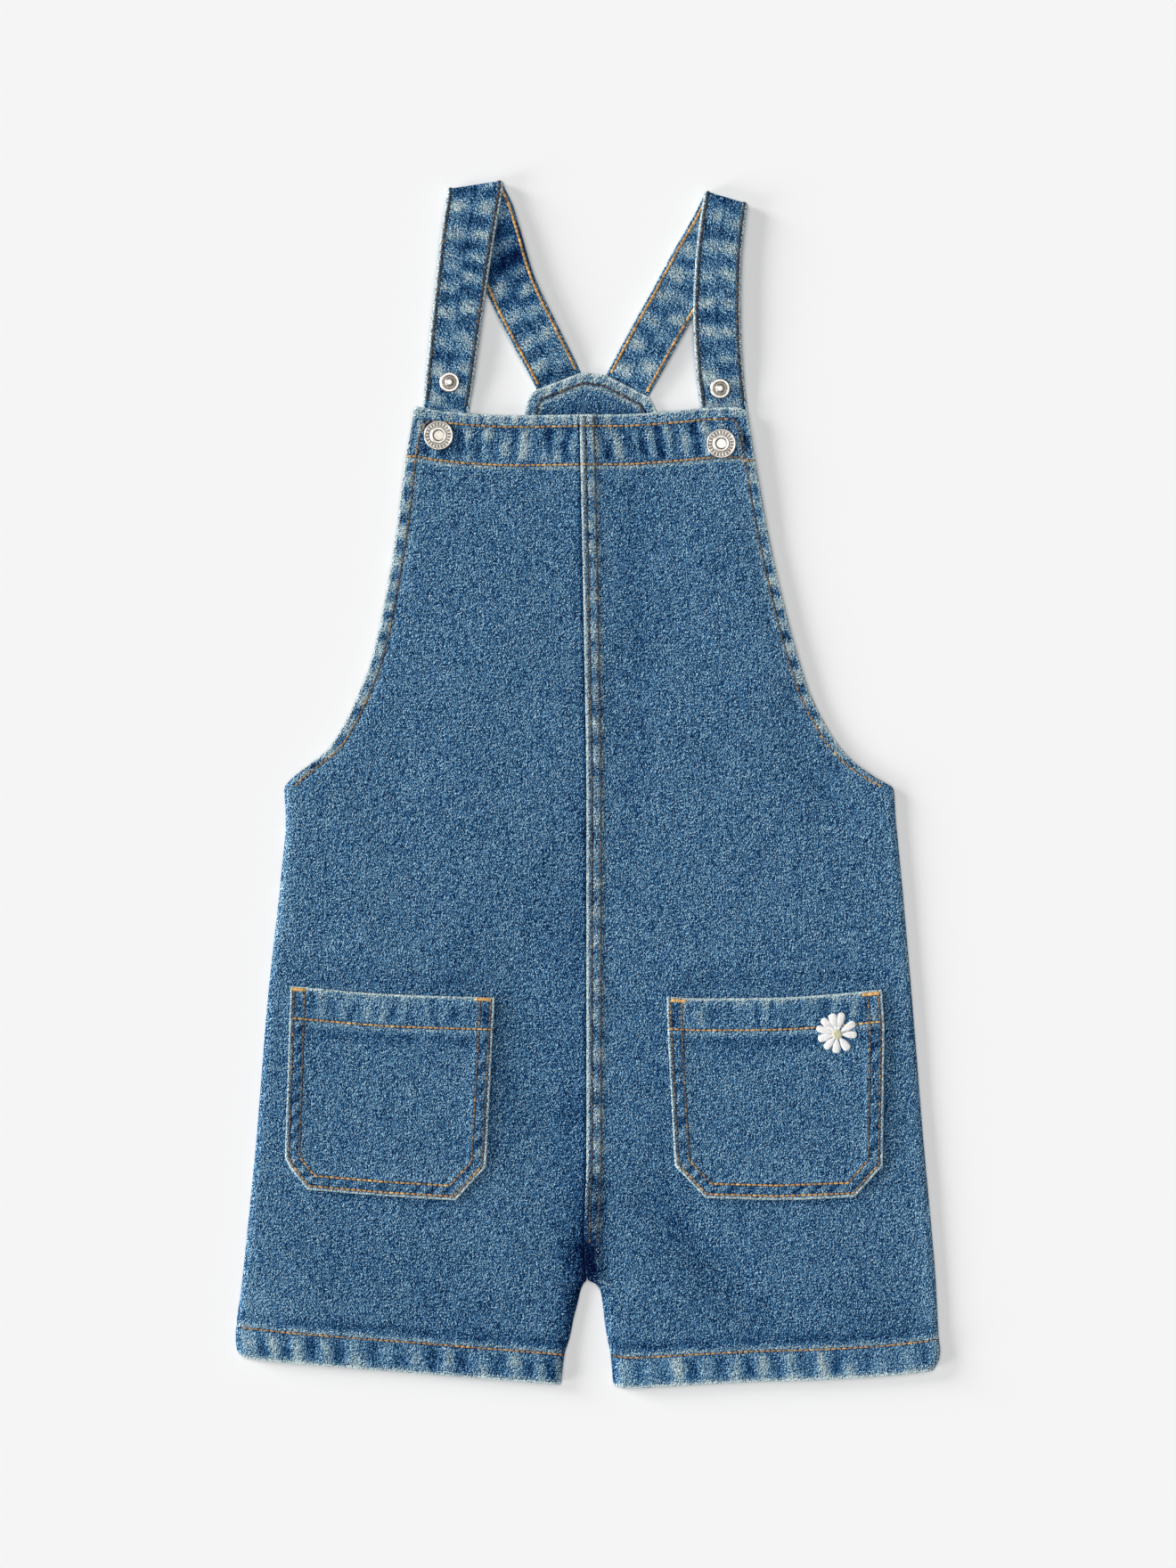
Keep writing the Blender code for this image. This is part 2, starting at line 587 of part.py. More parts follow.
def strap(name, front, back):
    """A band with rounded edges: up from behind the bib, over its fold and down to the yoke."""
    rise = run(front, 17)
    fall = run(back, 14)
    angle = np.linspace(0, pi, 8)[1:-1]
    x, level, _, turn, width = rise[-1]
    tilt = np.radians(turn / MM)
    reach = STRAP_FOLD_RADIUS * np.sin(angle)
    middle = (rise[-1, 2] + fall[0, 2]) / 2
    bend = np.stack([
        x - reach * np.sin(tilt),
        level - reach * np.cos(tilt),
        middle + STRAP_FOLD_RADIUS * np.cos(angle),
        np.full_like(angle, turn),
        np.full_like(angle, width),
    ], axis=-1)
    x, level, height, turn, width = np.concatenate([rise, bend, fall]).T
    centre = points(x, level, height)
    tilt = np.radians(turn / MM)
    across = np.stack([np.cos(tilt), np.sin(tilt), np.zeros_like(tilt)], axis=-1)
    along = np.gradient(centre, axis=0)
    outward = np.cross(across, along)
    outward = outward / np.linalg.norm(outward, axis=1)[:, None]
    half = width[:, None] / 2
    up = outward * STRAP_THICKNESS / 2
    flat = across * (half - STRAP_EDGE)
    ring = [centre + across * half, centre + flat + up, centre - flat + up]
    ring = ring + [centre - across * half, centre - flat - up, centre + flat - up]
    ring = np.stack(ring, axis=1)
    index = np.arange(ring.shape[0] * ring.shape[1]).reshape(ring.shape[:2])
    faces = ring_skin(index).tolist() + [index[0].tolist(), index[-1, ::-1].tolist()]
    mesh = bpy.data.meshes.new(name)
    mesh.from_pydata(ring.reshape(-1, 3).tolist(), [], faces)
    return finish(name, mesh, "denim_strap")


def turned(name, profile, place, height, sides):
    """A round piece: its profile spun round its middle line, with a flat base."""
    bm = bmesh.new()
    rim = [bm.verts.new((ring.radius * MM, 0, ring.height * MM)) for ring in profile]
    rim.append(bm.verts.new((0, 0, 0)))
    edges = [bm.edges.new(pair) for pair in zip(rim, rim[1:])]
    bmesh.ops.spin(
        bm, geom=rim + edges, axis=(0, 0, 1), cent=(0, 0, 0), dvec=(0, 0, 0),
        angle=2 * pi, steps=sides, use_merge=True,
    )
    mesh = bpy.data.meshes.new(name)
    bm.to_mesh(mesh)
    bm.free()
    piece = finish(name, mesh, "metal")
    piece.location = Vector((place.x * MM, LENGTH / 2 - place.level * MM, height))
    return piece


def pocket_face(x, down):
    """Highest the right pocket's face can be at a place on it, mouth included."""
    return lie(x, down) + LAY_GAP + POCKET_CLOTH + POCKET_MOUTH_EXTRA


def daisy():
    """Embroidered flower: ten uneven round petals about a small button."""
    sides = 6 * FLOWER_PETALS
    angle = np.linspace(0, 2 * pi, sides, endpoint=False)
    petal = np.abs(np.cos(FLOWER_PETALS / 2 * angle)) ** 0.6
    uneven = 1 + 0.05 * np.sin(3 * angle + 1) + 0.03 * np.sin(7 * angle)
    outline = FLOWER_RADIUS * (0.6 + 0.4 * petal) * uneven
    button = np.full(sides, FLOWER_BUTTON_RADIUS)
    radius = np.stack([0 * button, 0.8 * button, 1.2 * button, 0.75 * outline, outline])
    rise = np.array([1.0, 1.0, 0.6, 0.9, 0.35])[:, None] * FLOWER_THICKNESS
    x = FLOWER.x * MM + radius * np.cos(angle)
    down = FLOWER.level * MM - radius * np.sin(angle)
    low = pocket_face(x, down) + GAP
    top = points(x, down, low + rise)
    base = points(x, down, low)
    index = np.arange(radius.size).reshape(radius.shape)
    faces = np.concatenate([
        ring_skin(index),
        ring_skin(index[::-1] + radius.size),
        ring_skin(np.stack([index[-1], index[-1] + radius.size])),
    ])
    mesh = bpy.data.meshes.new("daisy")
    mesh.from_pydata(np.concatenate([top, base]).reshape(-1, 3).tolist(), [], faces.tolist())
    return finish("daisy", mesh, "embroidery")


def material(name, colour, roughness, metallic=0.0):
    """A plain finish. The colour is given as it looks on a screen, 0 to 255."""
    made = bpy.data.materials.new(name)
    made.use_nodes = True
    shader = made.node_tree.nodes["Principled BSDF"]
    linear = ((np.array(colour) / 255 + 0.055) / 1.055) ** 2.4
    shader.inputs["Base Color"].default_value = (*linear, 1.0)
    shader.inputs["Roughness"].default_value = roughness
    shader.inputs["Metallic"].default_value = metallic
    return made


for old in list(bpy.data.objects):
    bpy.data.objects.remove(old)

MATERIALS = {
    "denim": material("denim", (72, 106, 138), 0.9),
    "denim_strap": material("denim_strap", (92, 118, 142), 0.9),
    "denim_inside": material("denim_inside", (77, 102, 127), 0.9),
    "metal": material("metal", (190, 188, 182), 0.3, metallic=1.0),
    "embroidery": material("embroidery", (240, 240, 236), 0.7),
}
garment = bpy.data.objects.new("garment", None)
bpy.context.collection.objects.link(garment)

front_panel("front_left", on_left=True)
front_panel("front_right", on_left=False)
back_panel("back_left", on_left=True)
back_panel("back_right", on_left=False)
back_facing()
pocket("pocket_left", LEFT_POCKET_SIDES, LEFT_POCKET_TOP, LEFT_POCKET_BOTTOM)
pocket("pocket_right", RIGHT_POCKET_SIDES, RIGHT_POCKET_TOP, RIGHT_POCKET_BOTTOM)
strap("strap_left", STRAP_LEFT_FRONT, STRAP_LEFT_BACK)
strap("strap_right", STRAP_RIGHT_FRONT, STRAP_RIGHT_BACK)
for side, place in CAPS.items():
    seat = lie(place.x * MM, place.level * MM) + BAND_EXTRA + BAND_PUCKER + GAP
    turned(f"snap_cap_{side}", CAP_PROFILE, place, float(seat), CAP_SIDES)
for side, place in STUDS.items():
    turned(f"strap_stud_{side}", STUD_PROFILE, place, STRAP_THICKNESS + GAP, STUD_SIDES)
daisy()
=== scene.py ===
# Child's short denim overalls, laid flat with the front up and seen from straight above.
# The scene is in metres; tables and shape functions are in millimetres.
# +X is the picture's right, +Y its top. A level is the distance down from the tops of the strap folds.
from math import cos, pi, radians, sin

import bmesh
import bpy
import numpy as np
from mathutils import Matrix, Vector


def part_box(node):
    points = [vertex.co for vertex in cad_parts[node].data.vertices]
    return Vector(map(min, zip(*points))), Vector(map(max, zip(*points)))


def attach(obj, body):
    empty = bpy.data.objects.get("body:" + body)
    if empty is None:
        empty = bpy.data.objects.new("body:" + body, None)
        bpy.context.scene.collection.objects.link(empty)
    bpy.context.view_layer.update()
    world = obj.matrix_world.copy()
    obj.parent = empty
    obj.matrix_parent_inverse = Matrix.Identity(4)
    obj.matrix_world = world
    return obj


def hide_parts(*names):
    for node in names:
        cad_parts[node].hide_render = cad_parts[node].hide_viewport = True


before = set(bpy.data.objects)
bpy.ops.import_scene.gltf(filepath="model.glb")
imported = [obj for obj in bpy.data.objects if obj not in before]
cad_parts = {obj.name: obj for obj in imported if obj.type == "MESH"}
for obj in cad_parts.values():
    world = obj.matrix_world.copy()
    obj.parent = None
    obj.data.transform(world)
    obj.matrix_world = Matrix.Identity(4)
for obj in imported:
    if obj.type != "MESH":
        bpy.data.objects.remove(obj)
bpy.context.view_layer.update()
mm = 0.001
print("frame loaded:", len(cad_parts), "nodes")

# How the layers lie. The same sizes as the frame's solids.
garment = {
    "length": 609,  # strap folds to hems
    "seamGap": 0.3,  # between pieces that are sewn together
    "armpit": 307,  # levels
    "crotch": 554.5,
    "bibTop": 118,
    "yokeTop": 97.1,
    "hem": 605,
    "backThickness": 1.2,
    "stitch": 2.75,  # one stitch and its gap
}

frontSides = [  # level, reach to the left, reach to the right
    (114.2, 86.4, 78.5), (116.4, 87.8, 80.1), (121, 88.4, 81), (142.5, 92.2, 84.6),
    (178.5, 96.8, 91), (214.5, 103, 99), (241, 109, 106.2), (260, 116.1, 112.5),
    (277.5, 124.6, 121.5), (287, 131.2, 128), (296, 142.2, 137.3), (302, 149.6, 146.2),
    (307, 153.2, 154.2), (322, 152.5, 155.3), (350, 154.8, 158), (412, 161.5, 163.4),
    (484, 167.4, 169.2), (556, 174.6, 175.5), (584, 177.8, 177), (590, 177.2, 177.7),
    (594, 174.2, 177.4), (600.2, 170, 174.6),
]
centreSeam = [  # level, inner edge of the left panel, inner edge of the right one
    (114, -4.5, -4.5), (223, -2.3, -2.3), (313, -0.9, -0.9), (493, -0.9, -0.9),
    (530, -2, -2), (549, -1.2, -1.2), (554.5, -0.6, 0), (556.5, -2.2, 3.6),
    (560, -3.6, 6), (566, -5, 7.2), (574.5, -7.2, 8.1), (583.5, -9, 9.5),
    (592.5, -11.7, 11.3), (608, -13.5, 12.6),
]
bibTop = {  # x, level
    "left": [(-86.4, 114.2), (-75, 116.2), (-58.5, 117.8), (-36, 118.7), (-4.5, 118.2)],
    "right": [
        (-4.5, 118.2), (13.5, 118.2), (45, 116.4), (63, 114.8), (76, 114.6), (80.1, 116.4),
    ],
}
hemLine = {  # x, level
    "left": [(-174.2, 593.9), (-150, 596.5), (-81, 602), (-40, 605.2), (-13.5, 607.4)],
    "right": [
        (12.6, 607.9), (20, 609), (50, 607.6), (90, 605.6), (108, 605.2),
        (150, 602.9), (174.6, 600.2),
    ],
}
softFolds = [  # x1, level1, x2, level2, width, rise
    (25.6, 150, 25.6, 300, 11, -0.35), (-34, 400, -10, 545, 18, -1), (31, 515, 86, 570, 12, -1.1),
    (100, 268, 122, 320, 13, -0.8), (-45, 210, -75, 350, 24, 0.6), (62, 190, 90, 250, 20, 0.5),
    (-118, 340, -112, 385, 16, 0.7), (118, 545, 140, 580, 14, 0.6),
    (-120, 560, -75, 575, 13, -0.6), (48, 400, 30, 470, 14, 0.5),
]
paintedShadeAndFade = [  # x1, level1, x2, level2, width, tone: painted shade and painted light where the cloth bends, hollows and pockets cast shadow, with some uneven fading
    (-3, 334, -7, 469, 8, -0.05), (-8, 470, -6, 535, 10, -0.10), (3, 505, 2, 560, 6, -0.24),
    (2, 540, 2.5, 554, 3.5, -0.2), (12, 122, 16, 138, 5, -0.07), (-3, 160, -3, 330, 4, -0.05),
    (-100, 566, 130, 562, 34, -0.01), (-3, 538, -4, 578, 6, -0.2),
    (20, 310, 20, 360, 5, -0.05), (45, 412, 38, 430, 8, -0.05), (-22, 350, -24, 470, 14, -0.03),
    (16, 600, 46, 603, 8, 0.08), (96, 602, 160, 600, 4, 0.05), (-140, 587, -90, 590, 12, 0.03),
    (-160, 310, -158, 380, 9, 0.03), (-164, 540, -150, 590, 10, 0.03),
    (-46, 416, -50.2, 493, 1.5, -0.09), (-50.2, 497, -65.6, 515.4, 1.5, -0.09),
    (-67, 515.6, -140, 510.2, 1.5, -0.08), (149, 412, 149.8, 496, 1.5, -0.09),
    (149.6, 498, 135, 514, 1.5, -0.09), (133, 514.6, 60, 515.2, 1.5, -0.08),
    (-8, 540, -12, 596, 7, -0.12), (28, 450, 51, 560, 14, -0.035), (31, 515, 90, 574, 11, -0.05),
    (130, 568, 150, 574, 12, -0.04), (-61, 388, -61, 402, 10, -0.06), (-43, 415, -40, 495, 7, -0.05),
    (-146, 400, -60, 405, 4.5, -0.06), (50, 405, 146, 402, 4.5, -0.06), (-123, 540, -60, 574, 16, -0.03),
    (100, 270, 122, 318, 9, -0.03), (154, 420, 152, 490, 5, -0.03), (-167, 566, -174, 592, 9, 0.09),
    (-150, 300, -156, 380, 7, 0.05), (-92, 140, -97, 195, 5, 0.06), (-104, 215, -112, 250, 5, 0.04),
    (157, 311, 163, 400, 6, 0.05), (171, 520, 174, 590, 6, 0.07), (106, 240, 130, 286, 5, 0.05),
    (90, 170, 97, 215, 4, 0.04), (28, 315, 28, 353, 8, 0.02),
]
yokeTop = [(-29.7, 108.8), (-26.1, 105.6), (-4.05, 97.1), (0, 97.1), (9.5, 98.4), (30.6, 109.2)]
backSides = [  # level, reach to the left, reach to the right, down to the side seams
    (108.8, 29.7, 30.6), (118.5, 32, 35.6), (142.5, 36, 39.5), (187.5, 49, 52),
    (232.5, 70, 73), (268.5, 99, 101), (291, 126, 124), (303, 146, 142),
    (307.5, 152.6, 153),
]
pocketShapes = {
    "left": {
        "sides": [  # level, x of the left edge, x of the right edge
            (406.2, -149.9, -46.8), (411, -150, -47), (492.6, -152.6, -51.1),
            (497.7, -150.2, -51.4), (508.8, -141.3, -61.7), (514.2, -137, -66.6),
        ],
        "top": [(-149.9, 406.2), (-98, 410.4), (-46.8, 412.1)],
        "bottom": [(-141.3, 508.8), (-104, 512), (-66.6, 514.2)],
        "tacks": [(-145.9, 407.9, 7), (-52.7, 412.9, 7.4)],  # x, level, length
    },
    "right": {
        "sides": [
            (408, 39.6, 148.1), (428, 40, 149.4), (496.7, 43.7, 148.5),
            (497.6, 44.3, 147.8), (512.5, 59, 134.4), (514, 60, 133),
        ],
        "top": [(39.6, 411.6), (58, 412.4), (90, 412.2), (118, 410.8), (148.1, 408)],
        "bottom": [(59, 513), (96, 514), (134.4, 512.5)],
        "tacks": [(45.6, 413.6, 7.2), (142.4, 410.2, 8.6)],
    },
}
# x, level, height of the middle, turn in degrees, width, how far the right edge stands above the
# middle. The heights are up to 2.5 mm off the frame's solids, because a free strap doesn't lie flat.
strapRoutes = {
    "left": {
        "front": [
            (-75.2, 142.5, 1.2, -7.3, 23.6, 0), (-71.6, 114.6, 1.5, -7.3, 23.6, 0),
            (-69.7, 99.8, 3, -7.3, 24.4, 0), (-67, 77.3, 3.8, -7, 25.2, 0),
            (-64.6, 58.4, 4, -6, 25.9, 0), (-61.2, 32.3, 4, -3, 27, 0),
            (-58.3, 14.3, 4, 3, 28, 0), (-56.7, 4.5, 4, 8.5, 28.6, 0),
        ],
        "back": [
            (-56.7, 4.5, 1.5, 8.5, 28.6, 0), (-52.4, 14.3, 1.9, 12, 28.8, 0.8),
            (-47.8, 26, 2.2, 15, 27, 1.2), (-38.8, 53, 2.9, 21, 25.4, 0.8),
            (-26.6, 78.2, 3.3, 26, 24.8, 0.2), (-18.2, 94.2, 2.6, 22.6, 24.2, 0),
            (-14.8, 100.9, 1, 21.2, 24, 0),
        ],
    },
    "right": {
        "front": [
            (72, 142.5, 1.2, 6.4, 23.6, 0), (68.9, 116.4, 1.5, 6.4, 23.6, 0),
            (66.6, 97.5, 3, 5, 23.8, 0), (65.5, 81.8, 3.8, 3, 23.9, 0),
            (65, 64.7, 4, 0, 24, 0), (65.7, 42.2, 4, -4, 23.4, 0),
            (67.5, 23.3, 4, -11, 23, 0), (69.3, 10.8, 4, -17, 22.8, 0),
        ],
        "back": [
            (69.3, 10.8, 1.5, -17, 22.8, 0), (64, 22.8, 1.6, -22, 23.8, 0),
            (53.5, 42.2, 1.9, -27, 24.8, 0), (47.7, 53, 2, -27.5, 24.8, 0),
            (41.9, 63.8, 2.7, -28, 24.8, 0), (35.4, 75.2, 3.3, -27.8, 24.7, 0),
            (24.9, 94.2, 2.6, -27.4, 24.4, 0), (19.8, 103.5, 1, -27.1, 24.2, 0),
        ],
    },
}


# Shape functions
def smoothCurve(at, stations, values):
    # cubic stretches between the values, each slope the harmonic mean of its neighbours' or 0 at a turn
    step = np.diff(stations)
    slope = np.diff(values) / step
    product = slope[:-1] * slope[1:]
    total = np.where(product > 0, slope[:-1] + slope[1:], 1.0)
    inner = np.where(product > 0, 2 * product / total, 0)
    tangent = np.concatenate([slope[:1], inner, slope[-1:]])
    k = np.clip(np.searchsorted(stations, at, side="right") - 1, 0, len(step) - 1)
    t = np.clip((at - stations[k]) / step[k], 0, 1)
    first = values[k] * (1 + 2 * t) * (1 - t) ** 2 + step[k] * tangent[k] * t * (1 - t) ** 2
    second = values[k + 1] * t**2 * (3 - 2 * t) + step[k] * tangent[k + 1] * t**2 * (t - 1)
    return first + second


def lineThrough(table, column, sign=1, shift=0.0, straight=False):
    # a column of a table as a function of its first column
    stations, values = np.array(table, float)[:, [0, column]].T
    values = sign * values + shift
    if straight:
        return lambda at: np.interp(at, stations, values)
    return lambda at: smoothCurve(at, stations, values)


def ease(value, start, end):
    # 0 before start, 1 after end, and t * t * (3 - 2t) between
    t = np.clip((value - start) / (end - start), 0, 1)
    return t * t * (3 - 2 * t)


def quarter(distance, width):
    # height of a quarter circle: 0 at an edge, 1 from width inwards
    return np.sqrt(1 - (1 - np.clip(distance / width, 0, 1)) ** 2)


def bell(distance, width):
    # 1 in the middle, then e to the minus square of distance over width
    return np.exp(-((distance / width) ** 2))


def patchy(x, y, size, seed):
    # random values from -1 to 1 on a square lattice, blended between its points by soft steps
    values = np.random.default_rng(seed).uniform(-1, 1, (97, 97))
    column, row = x / size + 500, y / size + 500
    i, j = np.floor(column).astype(int), np.floor(row).astype(int)
    s, t = ease(column - i, 0, 1), ease(row - j, 0, 1)
    near = values[i % 97, j % 97] * (1 - s) + values[(i + 1) % 97, j % 97] * s
    far = values[i % 97, (j + 1) % 97] * (1 - s) + values[(i + 1) % 97, (j + 1) % 97] * s
    return near * (1 - t) + far * t


def puckers(along, across, period, seed):
    # a sine wave along a seam whose phase and depth wander
    drift = patchy(along, across * 0.4, 2.3 * period, seed)
    depth = patchy(along, across * 0.4, 1.2 * period, seed + 1)
    return np.sin(2 * pi * (along / period + 0.34 * drift)) * (0.72 + 0.28 * depth)


def spread(stops, steps):
    # places between stops, about one step apart, the last stop included
    parts = [
        np.linspace(a, b, max(1, round((b - a) / step)), endpoint=False)
        for a, b, step in zip(stops, stops[1:], steps)
    ]
    return np.concatenate(parts + [[stops[-1]]])


def gridLines(first, steps, last):
    # lines at given distances from both ends and equal steps between, as a share and a distance
    middle = np.linspace(0, 1, steps + 1)
    share = np.concatenate([np.zeros(len(first) - 1), middle, np.ones(len(last) - 1)])
    between = (1 - middle) * first[-1] - middle * last[-1]
    return share, np.concatenate([first[:-1], between, -last[-2::-1]])


def panelGrid(left, right, top, bottom, corners, across, rows):
    # x and level of a panel's points: columns run from edge to edge, rows follow both end edges
    share, distance = across
    level, followTop, followBottom = rows
    topX = corners[0] + share * (corners[1] - corners[0]) + distance
    bottomX = corners[2] + share * (corners[3] - corners[2]) + distance
    down = level[:, None] + (top(topX) - level[0])[None, :] * followTop[:, None]
    down += (bottom(bottomX) - level[-1])[None, :] * followBottom[:, None]
    edge = left(down)
    return edge + share * (right(down) - edge) + distance, down


def panelRows(levels, topFade, bottomFade):
    # row levels, and how far each row follows the top edge and the bottom edge
    followTop = 1 - ease(levels, levels[0] + topFade[0], levels[0] + topFade[1])
    followBottom = ease(levels, levels[-1] - bottomFade[1], levels[-1] - bottomFade[0])
    return levels, followTop, followBottom


def pathDistance(x, down, path):
    # distance to the nearest stretch of a path of straight lines
    start, run = path[:-1], np.diff(path, axis=0)
    offset = np.stack([x, down], axis=-1)[..., None, :] - start
    share = np.clip((offset * run).sum(-1) / (run**2).sum(-1), 0, 1)
    return np.linalg.norm(offset - share[..., None] * run, axis=-1).min(-1)


def lengths(path):
    # the distance along a path to each of its points
    return np.concatenate([[0], np.cumsum(np.linalg.norm(np.diff(path, axis=0), axis=1))])


def readAt(places, stations, table):
    # every column of a table read at some places, straight between its rows
    return np.stack([np.interp(places, stations, column) for column in np.transpose(table)], axis=-1)


def unit(vectors):
    # the same directions, one long
    return vectors / np.linalg.norm(vectors, axis=-1, keepdims=True)


def inset(path, distance):
    # a path moved sideways, to the right of someone who walks along it
    run = np.diff(path, axis=0)
    normal = unit(np.stack([-run[:, 1], run[:, 0]], axis=-1))
    before = np.concatenate([normal[:1], normal])
    after = np.concatenate([normal, normal[-1:]])
    return path + distance * (before + after) / (1 + (before * after).sum(1))[:, None]


def cutSize(x, down):
    # area in square metres, the rows' mean width times each step down, and the reach across and down
    width = x[:, -1] - x[:, 0]
    step = np.diff(down.mean(1))
    area = float(((width[1:] + width[:-1]) / 2 * step).sum()) * mm**2
    return area, (float(np.ptp(x)) * mm, float(np.ptp(down)) * mm)


def place(x, down, z):
    # points from x, level and height
    return np.stack(np.broadcast_arrays(x, garment["length"] / 2 - down, z), axis=-1)


# Meshes
def putMesh(name, places, faces, fields=None, weave=None):
    # a mesh in metres with its normals outwards, its float attributes and its weave map
    mesh = bpy.data.meshes.new(name)
    mesh.from_pydata((places.reshape(-1, 3) * mm).tolist(), [], faces)
    bm = bmesh.new()
    bm.from_mesh(mesh)
    bmesh.ops.recalc_face_normals(bm, faces=bm.faces)
    bm.to_mesh(mesh)
    bm.free()
    for key, values in (fields or {}).items():
        layer = mesh.attributes.new(key, "FLOAT", "POINT")
        layer.data.foreach_set("value", np.asarray(values, np.float32).ravel())
    if weave is not None:
        corner = np.zeros(len(mesh.loops), np.int32)
        mesh.loops.foreach_get("vertex_index", corner)
        mesh.uv_layers.new(name="weave").data.foreach_set(
            "uv", weave.reshape(-1, 2)[corner].astype(np.float32).ravel()
        )
    mesh.shade_smooth()
    piece = bpy.data.objects.new(name, mesh)
    bpy.context.collection.objects.link(piece)
    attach(piece, "root")
    return piece


def dress(piece, material, slot, *nodes):
    # a piece's material, its slot, which is not used, and the frame's nodes that it stands for
    piece.data.materials.append(material)
    if nodes:
        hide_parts(*nodes)
    return piece


def wallFaces(shape):
    # faces of a closed wall: an upper grid of points, a lower one and a rim round their four edges
    index = np.arange(shape[0] * shape[1]).reshape(shape)
    skin = np.stack([index[:-1, :-1], index[1:, :-1], index[1:, 1:], index[:-1, 1:]], axis=-1)
    skin = skin.reshape(-1, 4)
    edge = np.concatenate([index[0, :-1], index[:-1, -1], index[-1, :0:-1], index[:0:-1, 0]])
    after = np.roll(edge, -1)
    rim = np.stack([edge, after, after + index.size, edge + index.size], axis=-1)
    return np.concatenate([skin, skin[:, ::-1] + index.size, rim])


def clothWall(name, upper, lower, fields, weave):
    # a wall of cloth. Each field has values for its upper and its lower side.
    both = {key: np.stack(pair) for key, pair in fields.items()}
    faces = wallFaces(upper.shape[:2]).tolist()
    return putMesh(name, np.stack([upper, lower]), faces, both, np.stack([weave, weave]))


def ringFaces(rings):
    # faces between rings of points, each ring closed on itself
    after = np.roll(rings, -1, axis=1)
    return np.stack([rings[:-1], after[:-1], after[1:], rings[1:]], axis=-1).reshape(-1, 4)


def fan(tip, ring):
    # three-cornered faces from one point to a ring
    return np.stack([np.full(len(ring), tip), ring, np.roll(ring, -1)], axis=-1)


# Threads: each stitch is a long bead that sinks into the cloth at both ends
thread = {
    "sides": 7, "rings": 4, "width": 1.05, "height": 0.66, "fullness": 0.6,
    "share": 0.94,  # of a stitch and its gap
    "toneSpread": 0.11, "widthSpread": 0.12, "heightSpread": 0.1,
}


def beadShape():
    # rings from one end to the other: along = -cos(angle), radius = sin(angle) to a power
    angle = pi * np.arange(1, thread["rings"] + 1) / (thread["rings"] + 1)
    turn = 2 * pi * np.arange(thread["sides"]) / thread["sides"]
    radius = np.sin(angle) ** thread["fullness"]
    along = np.repeat(-np.cos(angle)[:, None], thread["sides"], axis=1)
    rings = np.stack([along, radius[:, None] * np.cos(turn), radius[:, None] * np.sin(turn)], axis=-1)
    points = np.concatenate([[[-1, 0, 0]], rings.reshape(-1, 3), [[1, 0, 0]]])
    index = 1 + np.arange(along.size).reshape(along.shape)
    caps = np.concatenate([fan(0, index[0])[:, [0, 2, 1]], fan(len(points) - 1, index[-1])])
    return points, (ringFaces(index), caps)


def stitchRun(route, tone, up=(0, 0, 1), pitch=garment["stitch"], width=1.0, slant=0.0):
    # places, directions and colours of the stitches along a route of points. A pair of tones is for stitches
    # that run down and for those that run across: painted light, the ones across lit from the side and the
    # ones down in shade.
    far = lengths(route)
    count = max(2, round(far[-1] / pitch))
    ends = np.linspace(0, far[-1], count + 1)
    middle = (ends[1:] + ends[:-1]) / 2
    along = np.diff(readAt(ends, far, route), axis=0)
    half = np.linalg.norm(along, axis=1) / 2
    along = unit(along)
    # painted light: the tone moves from the first to the second as a stitch turns across
    shadedUprightTone, level = tone if isinstance(tone, tuple) else (tone, tone)
    lift = readAt(middle, far, np.broadcast_to(np.asarray(up, float), route.shape))
    side = unit(np.cross(lift, along))
    slanted = along * cos(slant) + side * sin(slant)
    return {
        "centre": readAt(middle, far, route), "along": slanted, "side": np.cross(lift, slanted),
        "lift": lift, "half": half * thread["share"], "width": np.full(count, width),
        "tone": shadedUprightTone + (level - shadedUprightTone) * np.abs(along[:, 0]),
    }


def stitchMesh(name, runs, seed):
    # every bead of the runs in one mesh, with a colour tone that wanders from bead to bead
    points, faces = beadShape()
    joined = {key: np.concatenate([run[key] for run in runs]) for key in runs[0]}
    count = len(joined["half"])
    random = np.random.default_rng(seed)
    tone = joined["tone"] + random.normal(0, thread["toneSpread"], count)
    size = [joined["half"]]
    for key in ("width", "height"):
        uneven = thread[key + "Spread"]
        size.append(joined["width"] * thread[key] / 2 * random.uniform(1 - uneven, 1 + uneven, count))
    spot = joined["centre"][:, None]
    for i, key in enumerate(("along", "side", "lift")):
        spot = spot + points[:, i : i + 1] * (joined[key] * size[i][:, None])[:, None]
    shift = len(points) * np.arange(count)[:, None, None]
    every = [face for kind in faces for face in (kind + shift).reshape(-1, kind.shape[1]).tolist()]
    fields = {"tone": np.repeat(tone, len(points)), "end": np.tile(np.abs(points[:, 0]), count)}
    return putMesh(name, spot, every, fields)


# Materials
class Wire:
    # a node's output. Arithmetic on it adds Math nodes.
    def __init__(self, finish, socket):
        self.finish = finish
        self.socket = socket

    def maths(self, operation, *values):
        return self.finish.add("ShaderNodeMath", {"operation": operation}, dict(enumerate(values)))

    def __add__(self, other):
        return self.maths("ADD", self, other)

    def __radd__(self, other):
        return self.maths("ADD", other, self)

    def __sub__(self, other):
        return self.maths("SUBTRACT", self, other)

    def __rsub__(self, other):
        return self.maths("SUBTRACT", other, self)

    def __mul__(self, other):
        return self.maths("MULTIPLY", self, other)

    def __rmul__(self, other):
        return self.maths("MULTIPLY", other, self)

    def __truediv__(self, other):
        return self.maths("DIVIDE", self, other)

    def __rtruediv__(self, other):
        return self.maths("DIVIDE", other, self)

    def floor(self):
        return self.maths("FLOOR", self)

    def sine(self):
        return self.maths("SINE", self)

    def above(self, low, high):
        # 0 below low, 1 above high, soft between; swapped ends turn it round
        sockets = {"Value": self, "From Min": low, "From Max": high}
        return self.finish.add("ShaderNodeMapRange", {"interpolation_type": "SMOOTHSTEP"}, sockets)


